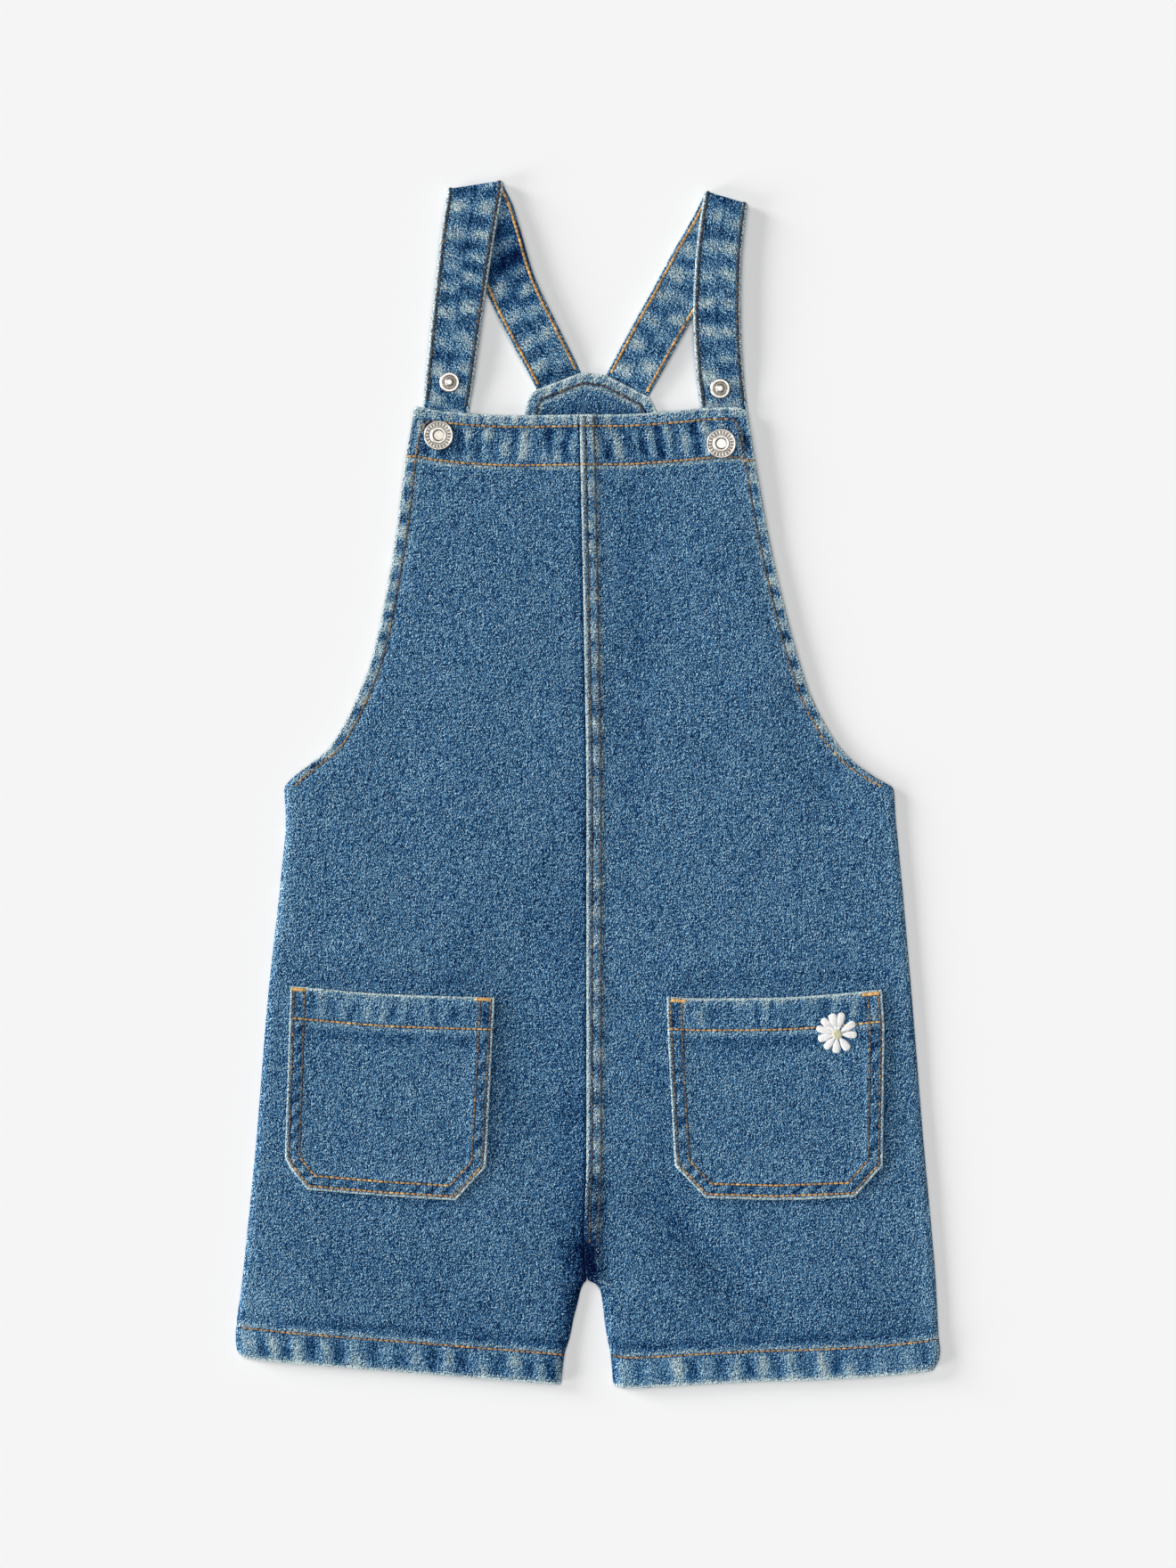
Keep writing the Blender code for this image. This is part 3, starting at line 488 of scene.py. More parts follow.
class Finish:
    # a material being made: each call adds one node and hands back its output. Colours are triples
    # as they look on a screen.
    def __init__(self, name):
        self.material = bpy.data.materials.new(name)
        self.material.use_nodes = True
        self.tree = self.material.node_tree
        self.tree.nodes.clear()

    def add(self, kind, settings, sockets, output=0):
        node = self.tree.nodes.new(kind)
        for key, value in settings.items():
            if key == "stops":
                self.setStops(node.color_ramp.elements, value)
            else:
                setattr(node, key, value)
        for key, value in sockets.items():
            if isinstance(value, Wire):
                self.tree.links.new(value.socket, node.inputs[key])
            else:
                node.inputs[key].default_value = screenColour(value) if isinstance(value, tuple) else value
        return Wire(self, node.outputs[output])

    def setStops(self, elements, stops):
        while len(elements) < len(stops):
            elements.new(1.0)
        for element, (position, colour) in zip(elements, stops):
            element.position = position
            element.color = screenColour(colour)

    def spot(self):
        # the place on the piece, in metres
        return self.add("ShaderNodeTexCoord", {}, {}, output=3)

    def field(self, name):
        return self.add("ShaderNodeAttribute", {"attribute_name": name}, {}, output=2)

    def vector(self, x, y, z=0.0):
        return self.add("ShaderNodeCombineXYZ", {}, {0: x, 1: y, 2: z})

    def noise(self, vector, scale, detail=2.0, roughness=0.5):
        sockets = {"Vector": vector, "Scale": scale, "Detail": detail, "Roughness": roughness}
        return self.add("ShaderNodeTexNoise", {"noise_dimensions": "3D"}, sockets)

    def chance(self, x, y, z=0.0):
        return self.add("ShaderNodeTexWhiteNoise", {"noise_dimensions": "3D"}, {0: self.vector(x, y, z)})

    def mixColour(self, factor, first, second):
        sockets = {0: factor, 6: first, 7: second}
        return self.add("ShaderNodeMix", {"data_type": "RGBA"}, sockets, output=2)

    def close(self, sockets):
        shader = self.add("ShaderNodeBsdfPrincipled", {}, sockets)
        end = self.tree.nodes.new("ShaderNodeOutputMaterial")
        self.tree.links.new(shader.socket, end.inputs[0])
        return self.material


def screenColour(colour):
    # a colour as it looks on a screen, 0 to 255, as light
    share = np.array(colour) / 255
    return (*np.where(share < 0.04045, share / 12.92, ((share + 0.055) / 1.055) ** 2.4), 1.0)


denimLook = {
    "warp": 0.30,  # mm from one upright thread to the next
    "float": 1.96,  # mm that the pattern repeats along a thread
    "level": 0.106,  # brightness of the plain cloth, on the scale of the stops
    "grain": 1.0, "dip": 0.34, "dipRange": 0.6, "round": 0.10, "fuzz": 0.24, "streak": 0.09, "wash": 0.09,
    "wornGain": 0.34, "wornRib": 0.18, "deepLoss": 0.17, "holeLoss": 0.17,
    "blue": [(0.0, (2, 10, 42)), (0.27, (23, 66, 110)), (0.55, (90, 145, 186)), (0.90, (200, 237, 250))],
    "rubbed": [
        (0.0, (4, 12, 40)), (0.27, (38, 66, 98)), (0.43, (82, 114, 138)), (0.59, (126, 155, 168)),
        (0.75, (168, 194, 200)), (0.92, (216, 231, 230)),
    ],
}


def denim(name, tint=0.0):
    # twill: each upright thread shows for three picks and dips under the fourth,
    # one pick lower than its left neighbour, so that the dips line up from upper left to lower right
    look = denimLook
    finish = Finish(name)
    weave = finish.add("ShaderNodeUVMap", {"uv_map": "weave"}, {})
    u, v = (finish.add("ShaderNodeSeparateXYZ", {}, {0: weave}, output=i) for i in (0, 1))
    u += (finish.noise(weave, 0.09, 2.0) - 0.5) * 1.6
    v += (finish.noise(weave, 0.16, 1.0) - 0.5) * 2.0
    column = u / look["warp"]
    end = column.floor()
    across = column - end
    row = v / look["float"] - end * 0.25
    cell = row.floor()
    along = row - cell
    crown = 1 - (across * 2 - 1) * (across * 2 - 1)
    shows = along.above(0.0, 0.12) * along.above(0.80, 0.66)
    pick = (v / look["float"] * 4).floor()
    uneven = finish.chance(end, pick) - finish.chance(end + 2, pick + 1)
    warpTone = uneven * look["grain"] + (crown - 0.67) * look["round"]
    weftTone = (finish.chance(end, cell, 7.0) - 0.5) * look["dipRange"] + look["dip"]
    weaveTone = weftTone + (warpTone - weftTone) * shows
    fuzz = (finish.noise(weave, 3.4, 2.0, 0.7) - 0.5) * look["fuzz"]
    streak = (finish.noise(finish.vector(u / 1.1, v / 34), 1.0, 2.0) - 0.5) * look["streak"]
    wash = (finish.noise(weave, 0.045, 3.0, 0.6) - 0.5) * look["wash"]
    patch = finish.noise(weave, 0.55, 2.0, 0.6)
    # worn places lighten along the diagonal ribs first
    rib = ((column * 0.25 - v / look["float"] + 0.55) * (2 * pi)).sine()
    rubbed = finish.field("edgeAt").above(1.8, 0.5) * (0.45 + patch * 1.1)
    light = finish.field("worn") * (0.3 + patch * 1.4) + rubbed
    hole = finish.field("seamAt").above(0.9, 0.35)
    # darker where pucker troughs kept their dye, and where painted shade and painted shadow lie
    deep = finish.field("deep") * (0.55 + patch * 0.9)
    tone = look["level"] + tint + (weaveTone + fuzz) * (1 - deep * 0.3) + streak + wash
    # painted shade and painted light from the table of lines, partly uneven fading
    tone += finish.field("shade")
    tone += light * (look["wornGain"] + rib * look["wornRib"])
    tone = tone - deep * look["deepLoss"] - hole * look["holeLoss"]
    blue = finish.add("ShaderNodeValToRGB", {"stops": look["blue"]}, {0: tone})
    pale = finish.add("ShaderNodeValToRGB", {"stops": look["rubbed"]}, {0: tone})
    outer = finish.mixColour(light.above(0.1, 0.9), blue, pale)
    thinned = (weaveTone + fuzz + 0.4).above(0.1, 0.9)
    reverse = finish.mixColour(thinned, (108, 129, 148), (190, 200, 206))
    colour = finish.mixColour(finish.field("inside"), outer, reverse)
    height = crown * shows + fuzz
    normal = finish.add("ShaderNodeBump", {}, {"Strength": 0.2, "Distance": 0.0002, "Height": height})
    return finish.close({
        "Base Color": colour, "Roughness": 0.95 - light * 0.04, "Normal": normal, "Specular IOR Level": 0.03,
    })


def threadFinish(name):
    # waxed cotton: orange to grey brown by the stitch's tone, with a fine twist and ends darkened with
    # painted shade where they sink into the cloth
    finish = Finish(name)
    spot = finish.spot()
    tone = finish.field("tone")
    end = finish.field("end")
    stops = [
        (0.0, (44, 48, 58)), (0.3, (98, 88, 78)), (0.55, (164, 128, 84)), (0.8, (212, 160, 92)),
        (1.0, (236, 198, 134)),
    ]
    fluff = finish.noise(spot, 900.0, 2.0, 0.6)
    # painted shade at each bead's ends
    tone = tone + (fluff - 0.5) * 0.5 - end.above(0.55, 1.0) * 0.32
    colour = finish.add("ShaderNodeValToRGB", {"stops": stops}, {0: tone})
    return finish.close({"Base Color": colour, "Roughness": 0.6 + fluff * 0.3, "Specular IOR Level": 0.3})


def metalFinish(name):
    # nickel: satin, a little warm, darker in pressed marks and where shade and a reflection are painted on
    finish = Finish(name)
    spot = finish.spot()
    mark = finish.field("mark")
    cloud = finish.noise(spot, 420.0, 3.0, 0.6)
    bright = finish.mixColour(cloud.above(0.3, 0.75), (186, 179, 170), (228, 224, 218))
    colour = finish.mixColour(mark, bright, (58, 48, 38))
    return finish.close({"Base Color": colour, "Metallic": 1.0, "Roughness": 0.3 + cloud * 0.16})


def flossFinish(name):
    # glossy white embroidery floss with fine strands, cream in the flower's middle
    finish = Finish(name)
    spot = finish.spot()
    cream = finish.field("cream")
    strand = finish.noise(spot, 1600.0, 2.0, 0.5)
    white = finish.mixColour(strand.above(0.25, 0.75), (226, 226, 224), (248, 248, 247))
    centre = finish.mixColour(strand.above(0.3, 0.7), (186, 182, 150), (214, 211, 184))
    colour = finish.mixColour(cream, white, centre)
    return finish.close({"Base Color": colour, "Roughness": 0.55 + strand * 0.2, "Specular IOR Level": 0.35})


def floorFinish(name):
    # smooth pale paper with the faintest cloudiness
    finish = Finish(name)
    spot = finish.spot()
    cloud = finish.noise(spot, 3.0, 2.0)
    colour = finish.mixColour(cloud, (243, 243, 243), (244, 244, 244))
    return finish.close({"Base Color": colour, "Roughness": 0.9, "Specular IOR Level": 0.1})


cloth = denim("washedDenim")
strapCloth = denim("strapDenim", tint=0.01)
facingCloth = denim("facingDenim", tint=-0.02)
topThread = threadFinish("topStitchThread")
nickel = metalFinish("nickel")
floss = flossFinish("floss")
print("materials made")

# The front: bib and leg in one, with a turned band, armholes and hem
front = {
    "step": 1.75, "reach": 150,  # width that the columns are counted for
    "cloth": 1.3,
    "height": 4.2,  # usual height of the outer face
    "sideFold": 4.0,
    "inseamFold": 6.0,
    "edgeRound": 0.8,
    "edgeDrop": 0.5,
    "band": 25.6, "bandExtra": 0.8, "bandPucker": 0.28, "bandPeriod": 8.8,
    "bandStitches": (5.9, 25.2),
    "hem": 15.0, "hemExtra": 0.9, "hemPucker": 0.42, "hemPeriod": 14.6, "hemStitch": 15.3,
    "turn": 6.0, "turnExtra": 0.4, "turnPucker": 0.22, "turnPeriod": 12.4, "turnStitch": 5.4,
    "fell": 8.0, "fellExtra": 0.9, "fellPucker": 0.25, "fellPeriod": 15.0, "fellStitches": (2.7, 7.2),
    "fellStitchEnd": 536.0,
    "droop": 1.0, "droopWidth": 9.0,
    "groove": 0.28, "grooveWidth": 0.9,
    "unevenness": ((46.0, 0.30), (21.0, 0.12)),  # size and height of slow waves
}
signs = {"left": -1, "right": 1}
columns = {"left": 1, "right": 2}
halfGap = garment["seamGap"] / 2
sideEdge = {s: lineThrough(frontSides, columns[s], sign=signs[s]) for s in signs}
centreEdge = {s: lineThrough(centreSeam, columns[s], shift=signs[s] * halfGap) for s in signs}
topEdge = {s: lineThrough(bibTop[s], 1) for s in signs}
hemEdge = {s: lineThrough(hemLine[s], 1) for s in signs}


def lieHeight(x, down):
    # the usual height, slow waves, and a bell along each soft fold's line
    z = np.full(np.shape(x), front["height"])
    for number, (size, rise) in enumerate(front["unevenness"]):
        z += rise * patchy(x, down, size, 50 + number)
    for x1, level1, x2, level2, width, rise in softFolds:
        fold = np.array([(x1, level1), (x2, level2)], float)
        z += rise * bell(pathDistance(x, down, fold), width)
    return z


def paintedShadeAndFadeAt(x, down):
    # painted shade and light: the sum of a bell along each line of the table, broken up a little
    tone = np.zeros(np.shape(x))
    for x1, level1, x2, level2, width, depth in paintedShadeAndFade:
        line = np.array([(x1, level1), (x2, level2)], float)
        tone += depth * bell(pathDistance(x, down, line), width)
    return tone * (1 + 0.25 * patchy(x, down, 7.0, 60))


def frontFace(x, down, side):
    # height of the front's outer face and its wear, worked out at any place on it
    edge = {
        "side": np.abs(x - sideEdge[side](down)),
        "centre": np.abs(x - centreEdge[side](down)),
        "top": np.maximum(down - topEdge[side](x), 0),
        "hem": np.maximum(hemEdge[side](x) - down, 0),
    }
    openSide = 1 - ease(down, garment["armpit"] - 11, garment["armpit"] + 5)
    openCentre = 1 - ease(down, garment["crotch"] - 1, garment["crotch"] + 6)
    onFell = openCentre if side == "right" else 0 * openCentre
    inBand = 1 - ease(edge["top"], front["band"] - 1, front["band"] + 1)
    inHem = 1 - ease(edge["hem"], front["hem"] - 0.8, front["hem"] + 0.8)
    inTurn = openSide * (1 - ease(edge["side"], front["turn"] - 1, front["turn"] + 1))
    inFell = onFell * (1 - ease(edge["centre"], front["fell"] - 0.5, front["fell"] + 1))

    # puckers between the stitches: their waves, and where each kind stands
    firstStitch, secondStitch = front["bandStitches"]
    bandBody = inBand * ease(edge["top"], 4.5, 9) * (1 - ease(edge["top"], 21, secondStitch))
    lipBody = inBand * (1 - ease(edge["top"], 3.5, firstStitch + 0.3))
    hemBody = inHem * np.sin(pi * np.clip(edge["hem"] / front["hem"], 0, 1)) ** 0.6
    turnBody = inTurn * (1 - inBand) * ease(edge["side"], 0.2, 1.6)
    fellBody = onFell * (1 - inBand) * ease(edge["centre"], 2.4, 3.8) * (1 - ease(edge["centre"], 7.0, 12))
    seed = 100 if side == "left" else 200
    bandLean = 0.05 if side == "left" else -0.2
    bandWave = puckers(x + bandLean * edge["top"], edge["top"], front["bandPeriod"], seed)
    bandWave = 0.65 * bandWave + 0.8 * patchy(x + bandLean * edge["top"], edge["top"] * 0.5, 4.0, seed + 2)
    lipWave = puckers(x, edge["top"], 7.4, seed + 3)
    hemWave = puckers(x + 0.12 * edge["hem"], 0.3 * edge["hem"], front["hemPeriod"], seed + 6)
    hemWave = 0.85 * hemWave + 0.4 * patchy(x + 0.15 * edge["hem"], edge["hem"] * 0.25, 3.4, seed + 7)
    turnWave = puckers(down, edge["side"], front["turnPeriod"], seed + 9)
    fellWave = puckers(down - 0.2 * edge["centre"], edge["centre"], front["fellPeriod"], seed + 12)

    # distance to the nearest line of stitching
    far = 99.0
    lines = [
        np.abs(edge["top"] - firstStitch) + far * (edge["side"] < 4.6),
        np.abs(edge["top"] - secondStitch),
        np.abs(edge["hem"] - front["hemStitch"]),
        np.abs(edge["side"] - front["turnStitch"]) + far * ((openSide < 0.5) | (edge["top"] < 5.4)),
    ]
    if side == "right":
        closed = down > front["fellStitchEnd"]
        lines += [np.abs(edge["centre"] - at) + far * closed for at in front["fellStitches"]]
    seamAt = np.minimum.reduce(lines)

    droop = ease(down, 150, 185) * openSide * bell(edge["side"], front["droopWidth"])
    base = lieHeight(x, down) - front["droop"] * droop
    extra = np.maximum(front["bandExtra"] * inBand + front["hemExtra"] * inHem, front["turnExtra"] * inTurn)
    extra += front["fellExtra"] * inFell
    z = base + extra + front["bandPucker"] * (bandWave * bandBody + 0.6 * lipWave * lipBody)
    z += front["hemPucker"] * hemWave * hemBody + front["turnPucker"] * turnWave * turnBody
    z += front["fellPucker"] * fellWave * fellBody - front["groove"] * bell(seamAt, front["grooveWidth"])
    openEdge = np.minimum(edge["top"], edge["hem"])
    openEdge = np.minimum(openEdge, edge["side"] + far * (1 - openSide))
    z -= front["edgeDrop"] * (1 - quarter(openEdge, front["edgeRound"]))
    if side == "right":
        lap = edge["centre"] + 0.2 + 3.0 * ease(down, 500, 535)
        openEdge = np.minimum(openEdge, lap + far * (1 - openCentre))

    # wear: light on crests, turned edges and beside seams; dark in the troughs, partly kept dye and partly
    # painted shade
    mottle = 0.75 + 0.35 * patchy(x, down, 5.0, seed + 20)
    crest = {
        "band": np.clip(bandWave, 0, 1) * bandBody, "lip": (0.45 + 0.4 * lipWave) * lipBody,
        "hem": 1.2 * np.clip(hemWave, 0, 1.2) ** 1.3 * hemBody, "turn": (0.5 + 0.6 * turnWave) * turnBody,
        "fell": np.clip(0.45 + 0.45 * fellWave, 0, 1) * fellBody,
    }
    trough = {
        "band": np.clip(-bandWave, 0, 1) * bandBody, "hem": np.clip(-hemWave, 0, 1) * hemBody,
        "turn": np.clip(-turnWave, 0, 1) * turnBody, "fell": 0.6 * np.clip(-fellWave, 0, 1) * fellBody,
    }
    lipShare = 1.8 if side == "left" else 1.1
    worn = 1.4 * crest["band"] + 0.08 * inBand + lipShare * crest["lip"] + 1.15 * crest["hem"]
    worn += 0.95 * np.clip(crest["turn"], 0, 1) + 1.0 * crest["fell"]
    worn += 1.0 * bell(edge["top"] - secondStitch - 1.5, 1.1) * (edge["top"] > secondStitch)
    worn += 0.75 * bell(edge["hem"] - front["hemStitch"] - 1.5, 1.2) * (edge["hem"] > front["hemStitch"])
    worn += 0.9 * inHem * bell(edge["hem"] - 0.8, 1.8) + 0.15 * inHem + 0.2 * inTurn + 0.2 * inFell
    worn += 0.35 * openSide * bell(edge["side"] - front["turnStitch"] - 2.2, 1.6)
    worn += 0.2 * (1 - openSide) * (1 - ease(edge["side"], 0, 10))
    if side == "right":
        worn = worn + 1.1 * openCentre * bell(edge["centre"] - 0.7, 0.9) * (1 - 0.9 * ease(down, 495, 535))
    deep = 1.5 * trough["band"] + 1.5 * trough["hem"] + 1.1 * trough["turn"] + 0.9 * trough["fell"]
    # painted shadow under the band's first stitch line, and a darker band above the hem's stitching
    deep += 0.45 * inBand * bell(edge["top"] - firstStitch - 1.6, 1.4)
    deep += 0.5 * bell(edge["hem"] - front["hemStitch"] - 5.5, 3.0) * (1 - inHem)
    # painted shadow beside the lapped centre seam, and painted shade along the soft fold right of that seam
    if side == "left":
        deep = deep + 1.3 * openCentre * bell(edge["centre"], 1.0)
    deep += 0.2 * bell(pathDistance(x, down, np.array([(25.6, 150.0), (25.6, 300.0)])), 8)
    return {
        "z": z, "base": base, "edge": edge, "openSide": openSide, "openCentre": openCentre,
        "worn": np.clip(worn * mottle, 0, 1.2), "deep": np.clip(deep * mottle, 0, 1.3),
        "seamAt": seamAt, "edgeAt": openEdge, "shade": paintedShadeAndFadeAt(x, down),
    }


def frontPanel(side):
    # one front: columns close together at its edges, rows at its band and hem. It is laid by frontFace.
    sideLines = spread((0, 1, 4, 8), (0.33, 0.75, 1.0))
    legLines = spread((0, 1, 6), (0.33, 0.85)) if side == "left" else spread((0, 1, 10), (0.33, 0.75))
    steps = round(front["reach"] / front["step"])
    left, right = sideEdge[side], centreEdge[side]
    across = gridLines(sideLines, steps, legLines)
    if side == "right":
        left, right = right, left
        across = gridLines(legLines, steps, sideLines)
    bandRows = garment["bibTop"] + spread((0, 1.2, 8, 23, 28.5), (0.3, 0.85, 1.6, 0.85))
    bodyStops = bandRows[-1], 553.5, 563.0, garment["hem"] - 18
    bodyRows = spread(bodyStops, (front["step"], 0.6, front["step"]))
    hemRows = garment["hem"] - spread((0, 1.2, 13.2, 18), (0.3, 1.2, 0.8))[::-1]
    levels = np.concatenate([bandRows, bodyRows[1:-1], hemRows])
    rows = panelRows(levels, (front["band"], 90), (front["hem"] + 1, 60))
    top, bottom = bibTop[side], hemLine[side]
    corners = top[0][0], top[-1][0], bottom[0][0], bottom[-1][0]
    x, down = panelGrid(left, right, topEdge[side], hemEdge[side], corners, across, rows)
    face = frontFace(x, down, side)
    edge = face["edge"]

    # side seam and inseam round down to the back, and the inside follows one wall further in
    folds, shifts = [], []
    for key, opened, size in (("side", "openSide", "sideFold"), ("centre", "openCentre", "inseamFold")):
        closed = 1 - face[opened]
        folds.append(closed * (1 - quarter(edge[key], front[size])))
        shifts.append(front["cloth"] * closed * np.clip(1 - edge[key] / front[size], 0, 1))
    fold = np.maximum(*folds)
    inward = shifts[0] - shifts[1]
    meet = garment["backThickness"] + garment["seamGap"]
    upper = face["z"] - fold * (face["z"] - meet)
    lining = face["base"] - front["cloth"]
    lining = lining - fold * (lining - meet)
    rim = np.minimum(face["edgeAt"], np.minimum(edge["side"], edge["centre"]))
    none = np.zeros_like(x)
    # the lining side gets an even painted shade
    fields = {
        "worn": (face["worn"], none), "deep": (face["deep"], none + 0.5),
        "seamAt": (face["seamAt"], none + 9), "edgeAt": (face["edgeAt"], face["edgeAt"]),
        "inside": (none, ease(rim, 0.4, 2.5)), "shade": (face["shade"], none),
    }
    high, low = place(x, down, upper), place(x - signs[side] * inward, down, lining)
    piece = clothWall("front" + side.title(), high, low, fields, np.stack([x, down], axis=-1))
    dress(piece, cloth, "denim", "front_" + side)
    return piece, *cutSize(x, down)


fronts = {side: frontPanel(side) for side in signs}
print("fronts made")


def onFace(faceOf, path, side, lift=0.12):
    # a flat path of (x, level) laid on an outer face
    path = np.asarray(path, float)
    far = lengths(path)
    x, down = readAt(np.linspace(0, far[-1], max(3, round(far[-1] / 1.2))), far, path).T
    return place(x, down, faceOf(x, down, side)["z"] + lift)


def frontStitching(side):
    # band, armhole, hem and, on the right, the two lines of the lapped seam
    sign = signs[side]
    outer, inner, top = sideEdge[side], centreEdge[side], topEdge[side]
    firstStitch, secondStitch = front["bandStitches"]
    x = np.linspace(inner(118.0) + sign * 0.3, outer(garment["bibTop"]) - sign * 9.5, 60)
    down = top(x) + firstStitch
    lines = [(x, down, 0.66, 1.0)]

    # the armhole's line starts with a quarter turn at the end of the band's first line
    turn, radius = np.linspace(0, pi / 2, 9)[1:], 4.6
    cornerX = x[-1] + sign * radius * np.sin(turn)
    cornerDown = down[-1] + radius * (1 - np.cos(turn))
    level = np.linspace(cornerDown[-1] + 1, garment["armpit"] - 1, 260)
    inward = 4.9 + (front["turnStitch"] - 4.9) * ease(level, 130, 160)
    x = np.append(cornerX, outer(level) - sign * inward)
    lines.append((x, np.append(cornerDown, level), (0.24, 0.62), 1.0))

    x = np.linspace(inner(143.0) + sign * 0.3, outer(142.0) - sign * 0.6, 60)
    lines.append((x, top(x) + secondStitch, 0.68, 1.0))
    longer = (0.0, 1.5) if side == "left" else (-1.5, 0.0)
    x = np.linspace(hemLine[side][0][0] + longer[0], hemLine[side][-1][0] + longer[1], 90)
    x = np.clip(x, *sorted((outer(585.0) - sign * 0.9, inner(590.0) + sign * 1.2)))
    lines.append((x, hemEdge[side](x) - front["hemStitch"], 0.62, 1.0))
    if side == "right":
        level = np.linspace(garment["bibTop"] + 1, front["fellStitchEnd"], 280)
        lines += [(inner(level) + offset, level, 0.16, 1.1) for offset in front["fellStitches"]]
    return [
        stitchRun(onFace(frontFace, np.stack([x, down], -1), side), tone, width=width)
        for x, down, tone, width in lines
    ]


for number, side in enumerate(signs):
    stitches = stitchMesh(f"frontStitches{side.title()}", frontStitching(side), 500 + number)
    dress(stitches, topThread, "denim")
print("front stitching made")

# The back: plain and hidden, flat on the floor
back = {
    "step": 2.4, "hemInset": 1.0, "sideInset": 0.4, "hem": 15.0, "hemExtra": 0.6,
    "hemStitch": 15.3, "clear": 0.16,  # above the floor
    "groove": 0.14, "pucker": 0.12, "seamStitches": (2.6, 7.0),
}


def backEdges(side):
    # the outer and the inner edge as functions of level: own ones above, the front's set in below
    sign = signs[side]
    column, inward = columns[side], back["sideInset"]
    table = [(row[0], sign * row[column]) for row in backSides]
    table += [(row[0], sign * (row[column] - inward)) for row in frontSides if row[0] > 310]
    legs = [(97.0, sign * halfGap), (553.0, sign * halfGap)]
    legs += [(row[0], row[column] + sign * inward) for row in centreSeam if row[0] > 555]
    return lineThrough(table, 1), lineThrough(legs, 1)


def backPanel(side):
    # one back: level on top, and the side on the floor is lifted a little at seams and puckers
    sign = signs[side]
    outerEdge, innerEdge = backEdges(side)
    yoke = [row for row in yokeTop if row[0] * sign >= 0]
    stops = garment["yokeTop"], 99, 553.5, 563, garment["hem"] - 17
    hemRows = garment["hem"] - spread((0, 1.2, 13, 17), (0.4, 1.6, 0.9))[::-1]
    levels = np.concatenate([spread(stops, (0.5, back["step"], 0.8, back["step"]))[:-1], hemRows])
    rows = panelRows(levels, (2, 40), (back["hem"] + 1, 60))
    lines = spread((0, 1, 4, 9), (0.4, 0.8, 1.0))
    across = gridLines(lines, round(145 / back["step"]), lines)
    left, right = (outerEdge, innerEdge) if side == "left" else (innerEdge, outerEdge)
    corners = yoke[0][0], yoke[-1][0], hemLine[side][0][0], hemLine[side][-1][0]
    x, down = panelGrid(
        left, right, lineThrough(yokeTop, 1, straight=True), lambda at: hemEdge[side](at) - back["hemInset"],
        corners, across, rows,
    )
    fromHem = down[-1:] - down
    fromSide, fromCentre = np.abs(x - outerEdge(down)), np.abs(x - innerEdge(down))
    top = garment["backThickness"] + back["hemExtra"] * (1 - ease(fromHem, back["hem"] - 1, back["hem"] + 1))
    rim = np.minimum(fromSide, np.minimum(fromCentre, fromHem))
    top = np.where(np.minimum(fromSide, fromCentre) < 0.1, garment["backThickness"], top)
    far = 99.0
    seams = [np.abs(fromCentre - at) + far * (down > 540) for at in back["seamStitches"]]
    seams.append(np.abs(fromSide - front["turnStitch"]) + far * (down > garment["armpit"]))
    seamAt = np.minimum.reduce([np.abs(fromHem - back["hemStitch"])] + seams)
    wave = puckers(x - 0.25 * fromHem, fromHem, 14.6, 300)
    inHem = (1 - ease(fromHem, 14, 16)) * np.sin(pi * np.clip(fromHem / 15, 0, 1)) ** 0.6
    lap = puckers(down, fromCentre, 15.0, 310) * ease(fromCentre, 2.4, 4) * (1 - ease(fromCentre, 7, 10))
    lift = back["groove"] * bell(seamAt, 0.9) + back["pucker"] * (1 - wave) * inHem / 2
    none = np.zeros_like(x)
    worn = np.clip(1.0 * np.clip(wave, 0, 1) * inHem + 0.6 * np.clip(lap, 0, 1) * (down < 548), 0, 1)
    deep = np.clip(0.9 * np.clip(-wave, 0, 1) * inHem + 0.5 * np.clip(-lap, 0, 1) * (down < 548), 0, 1)
    fields = {
        "worn": (none, worn), "deep": (none, deep), "seamAt": (none + 9, seamAt),
        "edgeAt": (np.minimum(rim, fromHem), np.minimum(fromHem, fromSide + far * (down > 300))),
        "inside": (ease(rim, 0.5, 3), none),
    }
    low = place(x, down, back["clear"] + lift)
    piece = clothWall("back" + side.title(), place(x, down, top), low, fields, np.stack([-x, down], axis=-1))
    dress(piece, cloth, "denim", "back_" + side)

    # stitching of the side that rests on the floor
    level = np.linspace(garment["yokeTop"] + 9, 538, 240)
    flat = back["clear"] + 0.1
    lines = [(innerEdge(level) + sign * at, level, 0.45) for at in back["seamStitches"]]
    hemX = np.linspace(x[-1, 0] + 1, x[-1, -1] - 1, 80)
    hemX = np.clip(hemX, *sorted((outerEdge(588.0) - sign, innerEdge(590.0) + sign)))
    lines.append((hemX, hemEdge[side](hemX) - back["hemInset"] - back["hemStitch"], 0.6))
    level = np.linspace(112, garment["armpit"] - 2, 200)
    lines.append((outerEdge(level) - sign * front["turnStitch"], level, 0.4))
    runs = [stitchRun(place(*line, flat), tone, (0, 0, -1), width=0.8) for *line, tone in lines]
    dress(stitchMesh(f"backStitches{side.title()}", runs, 520 + len(side)), topThread, "denim")
    return piece, *cutSize(x, down)


backs = {side: backPanel(side) for side in signs}
print("backs made")

# Facing: the inside of the back's top edge, which shows between the straps
facing = {"base": 1.5, "thickness": 1.1, "end": 133.0, "step": 0.9, "stitch": 5.4, "edgeRound": 0.8}


